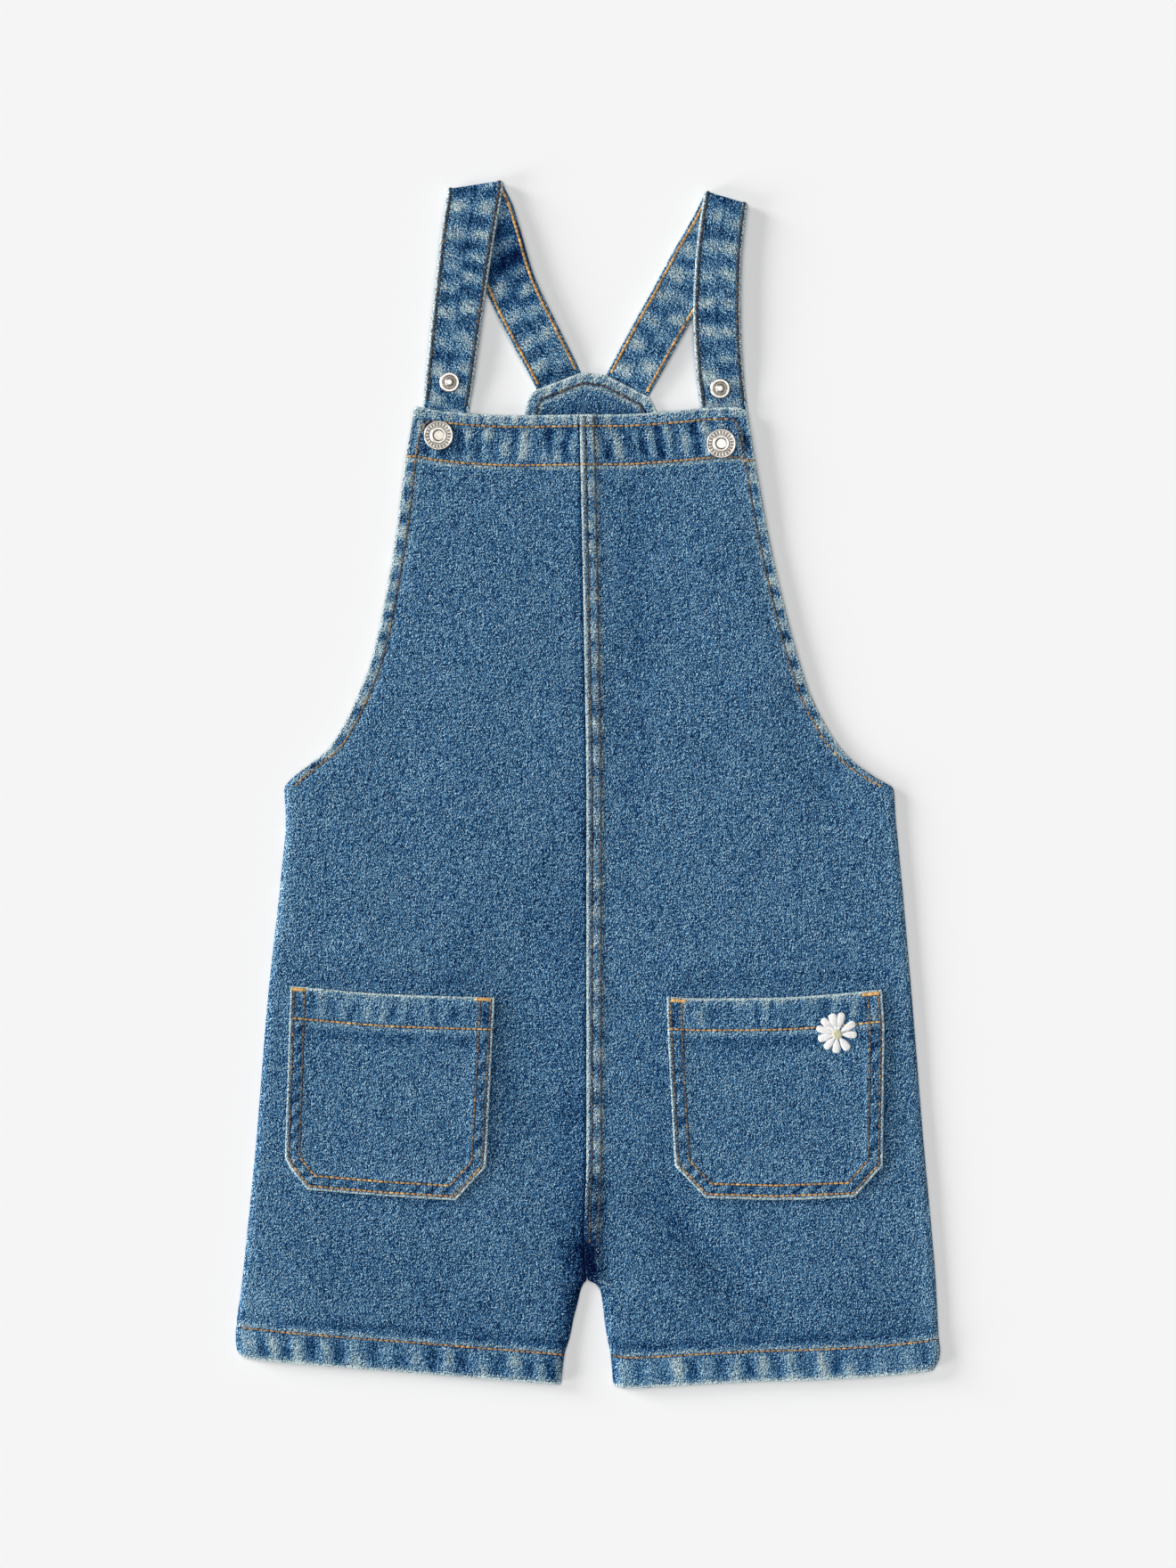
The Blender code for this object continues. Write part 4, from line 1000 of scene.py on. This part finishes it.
def facingPiece():
    # a level strip under the yoke's edge, with a row of stitches one stitch distance inside its outline
    sides = [row for row in backSides if row[0] < facing["end"]]
    left, right = lineThrough(sides, 1, sign=-1), lineThrough(sides, 2)
    top = lineThrough(yokeTop, 1, straight=True)
    ends = [(-33.0, facing["end"]), (36.5, facing["end"])]
    levels = spread((garment["yokeTop"], garment["yokeTop"] + 1.2, facing["end"]), (0.3, facing["step"]))
    rows = panelRows(levels, (2, 30), (1, 2))
    lines = spread((0, 1.2, 4), (0.3, 0.7))
    across = gridLines(lines, round(62 / facing["step"]), lines)
    corners = yokeTop[0][0], yokeTop[-1][0], ends[0][0], ends[1][0]
    x, down = panelGrid(left, right, top, lineThrough(ends, 1, straight=True), corners, across, rows)
    outline = [ends[0], (-31.5, 114.0), *yokeTop, (34.0, 114.0), ends[1]]
    edge = pathDistance(x, down, np.array(outline))
    seamAt = np.abs(edge - facing["stitch"])
    z = facing["base"] + facing["thickness"] - 0.25 * (1 - quarter(edge, facing["edgeRound"]))
    z -= 0.2 * bell(seamAt, 0.8)
    none = np.zeros_like(x)
    ripple = puckers(x + 0.5 * down, down, 7.5, 330)
    worn = (0.5 + 0.45 * ripple) * (1 - ease(edge, 4.0, 5.4)) + 0.2 + 0.3 * np.clip(ripple, 0, 1)
    worn += 0.7 * bell(edge - facing["stitch"] - 1.9, 1.0)
    # painted shadow: darker away from the outline, where the straps shade the facing, and under the bib's
    # top edge
    deep = 0.3 * ease(edge, 6.5, 9.5) + 0.35 * ease(down, 112, 118)
    fields = {
        "worn": (worn, none), "deep": (deep, none), "seamAt": (seamAt, none + 9),
        "edgeAt": (edge, none + 9), "inside": (none, none + 1),
    }
    low = place(x, down, np.full_like(x, facing["base"]))
    piece = clothWall("backFacing", place(x, down, z), low, fields, np.stack([x, down], axis=-1))
    dress(piece, facingCloth, "denim_inside", "back_facing")
    line = inset(np.array([(-31.6, 122.0), *yokeTop, (34.4, 122.0)]), facing["stitch"])
    far = lengths(line)
    x, down = readAt(np.linspace(0, far[-1], 80), far, line).T
    run = stitchRun(place(x, down, facing["base"] + facing["thickness"]), 0.08, width=1.4)
    dress(stitchMesh("facingStitches", [run], 540), topThread, "denim_inside")
    return piece


facingSheet = facingPiece()
print("facing made")

# Patch pockets with cut corners and a wide turned mouth
pocket = {
    "cloth": 1.3, "layGap": 0.35, "step": 1.1, "edgeWidth": 9.0, "edgeExtra": 0.45,
    "mouth": 16.0, "mouthExtra": 0.5, "mouthStitch": 16.1, "sideStitches": (2.0, 7.3),
    "pucker": 0.16, "groove": 0.3, "cornerHeight": 14.5,
}


def pocketPath(side):
    # left edge down, along the bottom, right edge up, without rows that nearly touch the next one
    top, bottom, sides = (pocketShapes[side][key] for key in ("top", "bottom", "sides"))
    rows = [row for before, row in zip([(0,)] + sides, sides) if row[0] - before[0] > 2]
    down = [(left, level) for level, left, right in rows if top[0][1] + 2 < level < bottom[0][1] - 2]
    up = [(right, level) for level, left, right in rows if top[-1][1] + 2 < level < bottom[-1][1] - 2]
    return np.array([top[0]] + down + bottom + up[::-1] + [top[-1]], float)


def pocketFace(x, down, side):
    # moved out from the front's face, with thicker turned edges and mouth
    path = pocketPath(side)
    edge = pathDistance(x, down, path)
    fromTop = np.maximum(down - lineThrough(pocketShapes[side]["top"], 1)(x), 0)
    inEdge = 1 - ease(edge, pocket["edgeWidth"] - 1, pocket["edgeWidth"] + 1)
    inMouth = 1 - ease(fromTop, pocket["mouth"] - 1, pocket["mouth"] + 1)
    seed = 400 if side == "left" else 440
    mouthWave = 0.5 * puckers(x + 0.1 * fromTop, fromTop, 9.5, seed)
    mouthWave += 0.7 * patchy(x + 0.1 * fromTop, fromTop * 0.35, 3.2, seed + 1)
    alongEdge = x + down
    edgeWave = puckers(alongEdge, edge, 8.6, seed + 3)
    edgeBody = inEdge * ease(edge, 2, 3.2) * (1 - ease(edge, 6.2, 7.6)) * ease(fromTop, 17, 20)
    mouthBody = inMouth * ease(fromTop, 0.4, 2.5) * (1 - ease(fromTop, 13.5, 16))
    outer, inner = pocket["sideStitches"]
    lines = [np.abs(edge - outer), np.abs(edge - inner), np.abs(fromTop - pocket["mouthStitch"])]
    seamAt = np.minimum.reduce(lines)
    low = lieHeight(x, down) + pocket["layGap"]
    z = low + pocket["cloth"] + np.maximum(pocket["edgeExtra"] * inEdge, pocket["mouthExtra"] * inMouth)
    z += pocket["pucker"] * (mouthWave * mouthBody + edgeWave * edgeBody)
    z -= pocket["groove"] * bell(seamAt, 0.9)
    openEdge = np.minimum(edge, fromTop)
    z -= front["edgeDrop"] * (1 - quarter(openEdge, front["edgeRound"]))
    corners = path[(path[:, 1] > 480) & (np.abs(path[:, 0] - path[:, 0].mean()) > 25)]
    corner = np.min([np.hypot(x - cx, down - cd) for cx, cd in corners], axis=0)
    mottle = 0.75 + 0.35 * patchy(x, down, 4.0, seed + 8)
    worn = 0.75 * np.clip(mouthWave + 0.15, 0, 1) * mouthBody + 0.35 * inMouth * (1 - ease(fromTop, 2, 6))
    worn += 0.8 * np.clip(edgeWave, 0, 1) * edgeBody
    worn += 0.6 * bell(fromTop - pocket["mouthStitch"] - 1.8, 1.3) * (fromTop > pocket["mouthStitch"])
    beside = bell(edge - inner - 1.8, 1.5) * (edge > inner) * ease(fromTop, 17, 20)
    worn += 0.45 * (0.5 + 0.5 * edgeWave) * beside
    worn += 0.6 * bell(corner, 5.0) + 0.5 * bell(openEdge - 0.3, 0.8)
    deep = np.clip(-edgeWave, 0, 1) * edgeBody + 0.6 * np.clip(-mouthWave, 0, 1) * mouthBody
    deep += 0.12 * inEdge + 0.4 * bell(fromTop - pocket["mouthStitch"] - 6, 3.0)
    return {
        "z": z, "low": low, "seamAt": seamAt, "edgeAt": openEdge,
        "worn": np.clip(worn * mottle, 0, 1.2), "deep": np.clip(deep * mottle, 0, 1.2),
    }


def pocketPiece(side):
    # one pocket: a wall between the two heights that pocketFace gives
    shape = pocketShapes[side]
    left = lineThrough(shape["sides"], 1, straight=True)
    right = lineThrough(shape["sides"], 2, straight=True)
    top, bottom = lineThrough(shape["top"], 1), lineThrough(shape["bottom"], 1)
    topLevel, bottomLevel = shape["top"][1][1], shape["bottom"][1][1]
    mouthRows = topLevel + spread((0, 1.2, 14.5, 19), (0.3, 1.1, 0.7))
    endRows = bottomLevel - spread((0, 1.2, 9, pocket["cornerHeight"]), (0.3, 0.75, 1.0))[::-1]
    bodyRows = spread((mouthRows[-1], endRows[0]), (pocket["step"],))
    rows = panelRows(np.concatenate([mouthRows, bodyRows[1:-1], endRows]), (20, 90), (12, 60))
    lines = spread((0, 1.2, 9), (0.3, 0.75))
    across = gridLines(lines, round(86 / pocket["step"]), lines)
    corners = shape["top"][0][0], shape["top"][-1][0], shape["bottom"][0][0], shape["bottom"][-1][0]
    x, down = panelGrid(left, right, top, bottom, corners, across, rows)
    face = pocketFace(x, down, side)
    none = np.zeros_like(x)
    fields = {
        "worn": (face["worn"], none), "deep": (face["deep"], none), "seamAt": (face["seamAt"], none + 9),
        "edgeAt": (face["edgeAt"], face["edgeAt"]), "inside": (none, ease(face["edgeAt"], 0.5, 2.0)),
    }
    high, low = (place(x, down, face[key]) for key in ("z", "low"))
    piece = clothWall("pocket" + side.title(), high, low, fields, np.stack([x, down], axis=-1))
    dress(piece, cloth, "denim", "pocket_" + side)
    return piece, *cutSize(x, down)


def pocketStitching(side):
    # two lines round the edge, one across the mouth, and a bar tack at each end of the mouth
    path = pocketPath(side)
    runs = []
    for offset in pocket["sideStitches"]:
        line = inset(path, -offset)
        line[0, 1] = line[0, 1] + 1.0
        line[-1, 1] = line[-1, 1] + 1.0
        runs.append(stitchRun(onFace(pocketFace, line, side), (0.26, 0.7)))
    top = lineThrough(pocketShapes[side]["top"], 1)
    x = np.linspace(path[0, 0] + 0.9, path[-1, 0] - 0.9, 50)
    line = np.stack([x, top(x) + pocket["mouthStitch"]], -1)
    runs.append(stitchRun(onFace(pocketFace, line, side), 0.74))
    for x, level, long in pocketShapes[side]["tacks"]:
        slope = (top(x + 1) - top(x - 1)) / 2
        ends = [(x + half, level + slope * half) for half in (-long / 2, long / 2)]
        route = onFace(pocketFace, ends, side, 0.3)
        tack = stitchRun(route, 0.86, pitch=0.5, width=0.8, slant=radians(78))
        tack["half"] = np.full(len(tack["half"]), 0.95)
        runs.append(tack)
    return runs


pockets = {side: pocketPiece(side) for side in signs}
for number, side in enumerate(signs):
    stitches = stitchMesh(f"pocketStitches{side.title()}", pocketStitching(side), 560 + number)
    dress(stitches, topThread, "denim")
print("pockets made")

# Straps: one band each, up from behind the bib, over its fold and down to the yoke
strap = {"thickness": 2.0, "round": 1.0, "foldRadius": 1.25, "step": 1.0, "stitch": 1.9, "bar": 14.5}


def strapRun(table):
    # stations read from a smooth curve through the table, about one step apart
    table = np.array(table, float)
    far = lengths(table[:, :2])
    at = np.linspace(0, far[-1], round(far[-1] / strap["step"]))
    return np.stack([smoothCurve(at, far, values) for values in table.T], axis=-1)


def strapPiece(side):
    # one strap: the front run, half a turn for the fold and the back run in one row of stations. Each
    # station carries a flat ring whose faces stand half a thickness off the middle line.
    rise, fall = strapRun(strapRoutes[side]["front"]), strapRun(strapRoutes[side]["back"])
    angle = np.linspace(0, pi, 16)[1:-1]
    x, level, _, turn, width, _ = rise[-1]
    reach = strap["foldRadius"] * np.sin(angle)
    middle = (rise[-1, 2] + fall[0, 2]) / 2
    bend = np.stack([
        x - reach * sin(radians(turn)), level - reach * cos(radians(turn)),
        middle + strap["foldRadius"] * np.cos(angle), np.full_like(angle, turn), np.full_like(angle, width),
        np.zeros_like(angle),
    ], axis=-1)
    x, level, height, turn, width, roll = np.concatenate([rise, bend, fall]).T
    centre = place(x, level, height)
    tilt = np.radians(turn)
    across = np.stack([np.cos(tilt), np.sin(tilt), 2 * roll / width], axis=-1)
    along = np.gradient(centre, axis=0)
    outward = unit(np.cross(across, along))
    far = lengths(centre)

    # the ring: across the outer face, round the edge and back across the inner one
    lines = spread((0, 1.2, 4.0), (0.2, 0.55))
    share, distance = gridLines(lines, 18, lines)
    half = width[:, None] / 2
    u = (2 * share - 1) * half + distance
    fromEdge = half - np.abs(u)
    seed = 600 if side == "left" else 640
    v = far[:, None] + 0 * u
    leftBars = puckers(v + 0.06 * u, 0 * v, strap["bar"], seed)
    rightBars = puckers(v + 5.5 + 0.1 * u, 0 * v, strap["bar"] * 0.94, seed + 4)
    which = ease(u, -0.8, 0.8)
    bars = leftBars * (1 - which) + rightBars * which
    bars = 0.9 * bars + 0.5 * patchy(0.6 * u + 40, v + 0.1 * u, 4.4, seed + 6)
    body = bell(np.abs(u) - half * 0.48, half * 0.42) * ease(fromEdge, 1.6, 3.4)
    seamAt = np.abs(fromEdge - strap["stitch"])
    thick = strap["thickness"] / 2 * quarter(fromEdge, strap["round"])
    rolls = 0.14 * bars * body - 0.16 * bell(seamAt, 0.7)
    mottle = 0.8 + 0.35 * patchy(u, v + 0.5 * u, 3.0, seed + 9)
    rim = (0.5 if side == "left" else 0.3) * (1 - ease(fromEdge, 0.9, 1.6))
    worn = 1.3 * np.clip(bars + 0.1, 0, 1) * body + (0.08 if side == "left" else 0.2)
    deep = 0.8 * np.clip(-bars, 0, 1) * ease(fromEdge, 2, 4) + 0.5 * bell(u, 0.9) * (1 - np.clip(bars, 0, 1))
    worn, deep = np.clip(worn * mottle, 0, 1.3), np.clip(deep * mottle, 0, 1.2)
    onBack = ease(far, far[len(rise)], far[len(rise) + 14])[:, None]
    strength, at, wide = (0.9, 38, 22) if side == "left" else (0.3, 12, 12)
    shadow = strength * onBack * bell(v - far[len(rise)] - at, wide)
    outerFace = centre[:, None] + across[:, None] * u[..., None]
    faces = {
        sign: outerFace + outward[:, None] * (sign * (thick + rolls * quarter(fromEdge, 2.0)))[..., None]
        for sign in (1, -1)
    }
    inner = slice(-2, 0, -1)

    def join(outer, other):
        return np.concatenate([outer, other[:, inner]], axis=1)

    ring = join(faces[1], faces[-1])
    fields = {
        "worn": join(worn + rim, worn), "deep": join(deep, deep + shadow), "seamAt": join(seamAt, seamAt),
        "edgeAt": join(fromEdge, fromEdge + 1.2), "inside": join(0 * u, 0 * u), "shade": join(0 * u, 0 * u),
    }
    weave = np.stack([join(u, -u), join(v, v)], axis=-1)
    index = np.arange(ring.shape[0] * ring.shape[1]).reshape(ring.shape[:2])
    ends = [index[0, ::-1].tolist(), index[-1].tolist()]
    piece = putMesh("strap" + side.title(), ring, ringFaces(index).tolist() + ends, fields, weave)
    dress(piece, strapCloth, "denim_strap", "strap_" + side)

    # stitching along both edges of both faces
    runs = []
    thickness = strap["thickness"] / 2 - 0.05
    first, last = 30, len(far) - 2
    fold = len(rise)
    rising, upPart = slice(first, fold + 14), slice(first, fold)
    falling, under = slice(fold + 8, last), slice(fold + 14, last)
    for edge in (-1, 1):
        route = centre + across * (edge * (width / 2 - strap["stitch"]))[:, None]
        outer, inner = route + outward * thickness, route - outward * thickness
        runs.append(stitchRun(outer[rising], 0.12, outward[rising], width=1.7, slant=radians(18)))
        bold = stitchRun(inner[falling], 0.68, -outward[falling], pitch=2.4, width=1.4)
        bold["half"] = bold["half"] * 1.2
        runs.append(bold)
        runs.append(stitchRun((outer - 0.2 * outward)[under], 0.3, outward[under], width=0.8))
        runs.append(stitchRun((inner + 0.2 * outward)[upPart], 0.72, -outward[upPart], width=0.9))
    dress(stitchMesh(f"strapStitches{side.title()}", runs, 580 + len(side)), topThread, "denim_strap")
    return piece, float(far[-1]) * mm, float(width.mean()) * mm


straps = {side: strapPiece(side) for side in signs}
print("straps made")

# Snaps: two closed caps on the bib and two studs on the straps, turned profiles with pressed marks
snaps = {
    "segments": 132, "marks": 22,
    "capPlaces": {"left": (-75.2, 129.0), "right": (67.1, 133.1)},
    "studPlaces": {"left": (-69.8, 102.0), "right": (66.6, 105.2)},
    "cap": [  # radius, height: dished disc, inner ring, marked ring, rolled rim
        (0, 1.06), (1.4, 1.06), (2.3, 1.08), (2.6, 1.2), (2.9, 1.36), (3.35, 1.48), (3.7, 1.5),
        (4, 1.4), (4.25, 1.2), (4.6, 1.12), (5.1, 1.2), (5.6, 1.2), (6.1, 1.22), (6.4, 1.34),
        (6.7, 1.52), (7, 1.55), (7.25, 1.42), (7.42, 1.15), (7.5, 0.8), (7.45, 0.3), (7.3, 0),
        (0, 0),
    ],
    "stud": [  # radius, height: stud, dish, pressed ring
        (0, 1.95), (0.9, 1.9), (1.6, 1.7), (2.1, 1.4), (2.35, 1.05), (2.4, 0.75), (2.5, 0.5),
        (2.75, 0.42), (3.05, 0.5), (3.3, 0.78), (3.6, 1), (4.1, 1.1), (4.6, 1.06), (4.95, 0.85),
        (5.15, 0.5), (5.1, 0.1), (5, 0), (0, 0),
    ],
    "capMarks": (4.6, 6.2, 0.2),  # from radius, to radius, height
    "studMarks": (3.6, 3.9, 0.0),
    # darkness of the middle, painted as a reflection, radius and darkness of the ring of painted shade round
    # it, and worn darkness all over
    "capStain": {"left": (0.3, 2.55, 0.35, 0.12), "right": (0.1, 2.55, 0.4, 0.0)},
    "studStain": dict.fromkeys(signs, (0.1, 2.75, 0.8, 0.0)),
    "capLift": 0, "studLift": 1.5,  # the strap stands off the floor here
}


def lathed(name, profile, marks, shadeAndTarnish, spot, base, node):
    # a profile turned round its middle, with short radial marks raised on one ring, a middle disc darkened
    # as a painted reflection and a ring of painted shade round it
    profile = np.array(profile, float)
    fine = spread(tuple(range(len(profile))), (0.34,) * (len(profile) - 1))
    radius = np.interp(fine, np.arange(len(profile)), profile[:, 0])[1:-1]
    height = np.interp(fine, np.arange(len(profile)), profile[:, 1])[1:-1]
    turn = 2 * pi * np.arange(snaps["segments"]) / snaps["segments"]
    low, high, rise = marks
    onRing = ease(radius, low - 0.15, low + 0.1) * (1 - ease(radius, high - 0.1, high + 0.15))
    onRing = onRing * (height > 0.3)
    tooth = ease(np.cos(snaps["marks"] * turn), -0.1, 0.5)
    z = height[:, None] + rise * onRing[:, None] * tooth[None, :]
    x, down = spot[0] + radius[:, None] * np.cos(turn), spot[1] - radius[:, None] * np.sin(turn)
    rings = place(x, down, base + z)
    index = np.arange(z.size).reshape(z.shape)
    tip, foot = place(*spot, base + profile[0, 1]), place(*spot, base)
    faces = ringFaces(index).tolist() + fan(z.size, index[0]).tolist()
    faces += fan(z.size + 1, index[-1])[:, [0, 2, 1]].tolist()
    middle, ringAt, ringDark, overall = shadeAndTarnish
    # painted reflection in the middle, painted shade in the ring, worn darkness all over
    dark = overall + middle * (1 - ease(radius, 1.9, 2.6)) + ringDark * bell(radius - ringAt, 0.25)
    mark = np.maximum(onRing[:, None] * (1 - tooth[None, :]), dark[:, None]).ravel()
    places = np.concatenate([rings.reshape(-1, 3), [tip], [foot]])
    piece = putMesh(name, places, faces, {"mark": np.concatenate([0.75 * mark, [middle, 0]])})
    piece.data.set_sharp_from_angle(angle=radians(50))
    return dress(piece, nickel, "metal", node)


for side in signs:
    for kind, node in (("cap", "snap_cap_"), ("stud", "strap_stud_")):
        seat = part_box(node + side)[0].z / mm + snaps[kind + "Lift"]
        name = {"cap": "snapCap", "stud": "strapStud"}[kind] + side.title()
        shadeAndTarnish, spot = snaps[kind + "Stain"][side], snaps[kind + "Places"][side]
        lathed(name, snaps[kind], snaps[kind + "Marks"], shadeAndTarnish, spot, seat, node + side)
print("snaps made")

# The flower on the right pocket: ten satin-stitched petals and a cream middle
flower = {
    "centre": (125.5, 430.5),
    "petals": [  # direction in degrees, length, width
        (77, 11.2, 3.8), (105, 10.8, 4.3), (135, 11.0, 3.8), (163, 11.0, 3.5), (195, 10.0, 3.8),
        (230, 9.6, 3.6), (266, 9.6, 3.7), (306, 9.8, 4.1), (358, 10.0, 3.6), (33, 10.8, 3.8),
    ],
    "strands": 9, "height": 0.75, "middle": 2.6,
}


def petalShape(direction, long, wide):
    # a rounded lobe: half width grows as a sine power from the root, the top is ribbed by its strands
    s = np.linspace(0, 1, 30)[:, None]
    t = np.linspace(-1, 1, 6 * flower["strands"] + 1)[None, :]
    tip = np.sqrt(np.clip(1 - (np.clip(s - 0.82, 0, 1) / 0.18) ** 2, 0, 1))
    halfWidth = wide / 2 * (0.34 + 0.66 * ease(s, 0.05, 0.6)) * tip
    along = 1.4 + s * (long - 1.4) + 0.0 * t
    aside = halfWidth * t
    dome = quarter(1 - np.abs(t), 0.75) * quarter(1 - s, 0.12) * (0.75 + 0.25 * np.sin(pi * s))
    ribs = 0.09 * np.abs(np.sin(pi * flower["strands"] * (t + 1) / 2 + 0.4 * np.sin(5 * s)))
    angle = radians(direction)
    x = flower["centre"][0] + along * cos(angle) - aside * sin(angle)
    down = flower["centre"][1] - along * sin(angle) - aside * cos(angle)
    base = pocketFace(x, down, "right")["z"] + 0.02
    return x, down, base, base + dome * (flower["height"] + ribs)


def flowerPiece():
    # every petal as a wall on the pocket's face, and the middle
    points, faces, cream = [], [], []
    count = 0
    for direction, long, wide in flower["petals"]:
        x, down, low, high = petalShape(direction, long, wide)
        faces += (wallFaces(x.shape) + count).tolist()
        points += [place(x, down, high).reshape(-1, 3), place(x, down, low - 0.05).reshape(-1, 3)]
        cream += [np.zeros(2 * x.size)]
        count += 2 * x.size
    # the middle: a low dome ribbed by slanting strands
    ring, turn = np.meshgrid(np.linspace(0.02, 1, 14), 2 * pi * np.arange(72) / 72, indexing="ij")
    x = flower["centre"][0] + flower["middle"] * ring * np.cos(turn)
    down = flower["centre"][1] - flower["middle"] * ring * np.sin(turn)
    slant = np.abs(np.sin(4.6 * (x * 0.6 + down * 0.8)))
    base = pocketFace(x, down, "right")["z"]
    z = base + 0.35 + (0.75 + 0.1 * slant) * quarter(1 - ring, 0.6)
    index = np.arange(x.size).reshape(x.shape)
    low = index + x.size
    sides = [ringFaces(rings) for rings in (index, low[::-1], np.stack([index[-1], low[-1]]))]
    middle = np.concatenate(sides)
    faces += (middle + count).tolist() + [(index[0, ::-1] + count).tolist(), (low[0] + count).tolist()]
    points += [place(x, down, z).reshape(-1, 3), place(x, down, base).reshape(-1, 3)]
    cream += [np.ones(2 * x.size)]
    piece = putMesh("flower", np.concatenate(points), faces, {"cream": np.concatenate(cream)})
    return dress(piece, floss, "embroidery", "daisy")


flowerPiece()
print("flower made")

# A loop over the sides that only spells out each side's name
for side in signs:
    name = side.title()

# Floor, light and camera
studio = {
    "floorSize": 60.0,
    "lamps": [  # strength, width, height above the floor and direction round it, in degrees
        ("upperLeftLamp", 2.6, 21, 14.8, 157), ("lowerLeftLamp", 1.66, 21, 14.8, 203),
        ("topLamp", 1.84, 56, 84, 120),
    ],
    "world": 0.085,
    "cameraHeight": 1.87, "lens": 85, "sensor": 36,
}


def floorPiece():
    # a level square that reaches past every view
    half = studio["floorSize"] / 2
    mesh = bpy.data.meshes.new("floor")
    corners = [(-half, -half, 0), (half, -half, 0), (half, half, 0), (-half, half, 0)]
    mesh.from_pydata(corners, [], [(0, 1, 2, 3)])
    floor = bpy.data.objects.new("floor", mesh)
    bpy.context.collection.objects.link(floor)
    mesh.materials.append(floorFinish("paleFloor"))


def lampPiece(name, strength, wide, height, around):
    # a broad soft lamp, far off
    lamp = bpy.data.lights.new(name, "SUN")
    lamp.energy = strength
    lamp.angle = radians(wide)
    light = bpy.data.objects.new(name, lamp)
    bpy.context.collection.objects.link(light)
    light.rotation_euler = (0, radians(90 - height), radians(around))


floorPiece()
for lamp in studio["lamps"]:
    lampPiece(*lamp)
world = bpy.data.worlds.new("studio")
world.use_nodes = True
world.node_tree.nodes["Background"].inputs[0].default_value = (1.0, 1.0, 1.0, 1.0)
world.node_tree.nodes["Background"].inputs[1].default_value = studio["world"]
bpy.context.scene.world = world
bpy.context.scene.view_settings.view_transform = "Standard"

view = bpy.data.cameras.new("camera")
view.lens = studio["lens"]
view.sensor_fit = "VERTICAL"
view.sensor_height = studio["sensor"]
view.clip_start = 0.05
camera = bpy.data.objects.new("camera", view)
bpy.context.collection.objects.link(camera)
camera.location = (0, 0, studio["cameraHeight"])
bpy.context.scene.camera = camera
print("studio made")
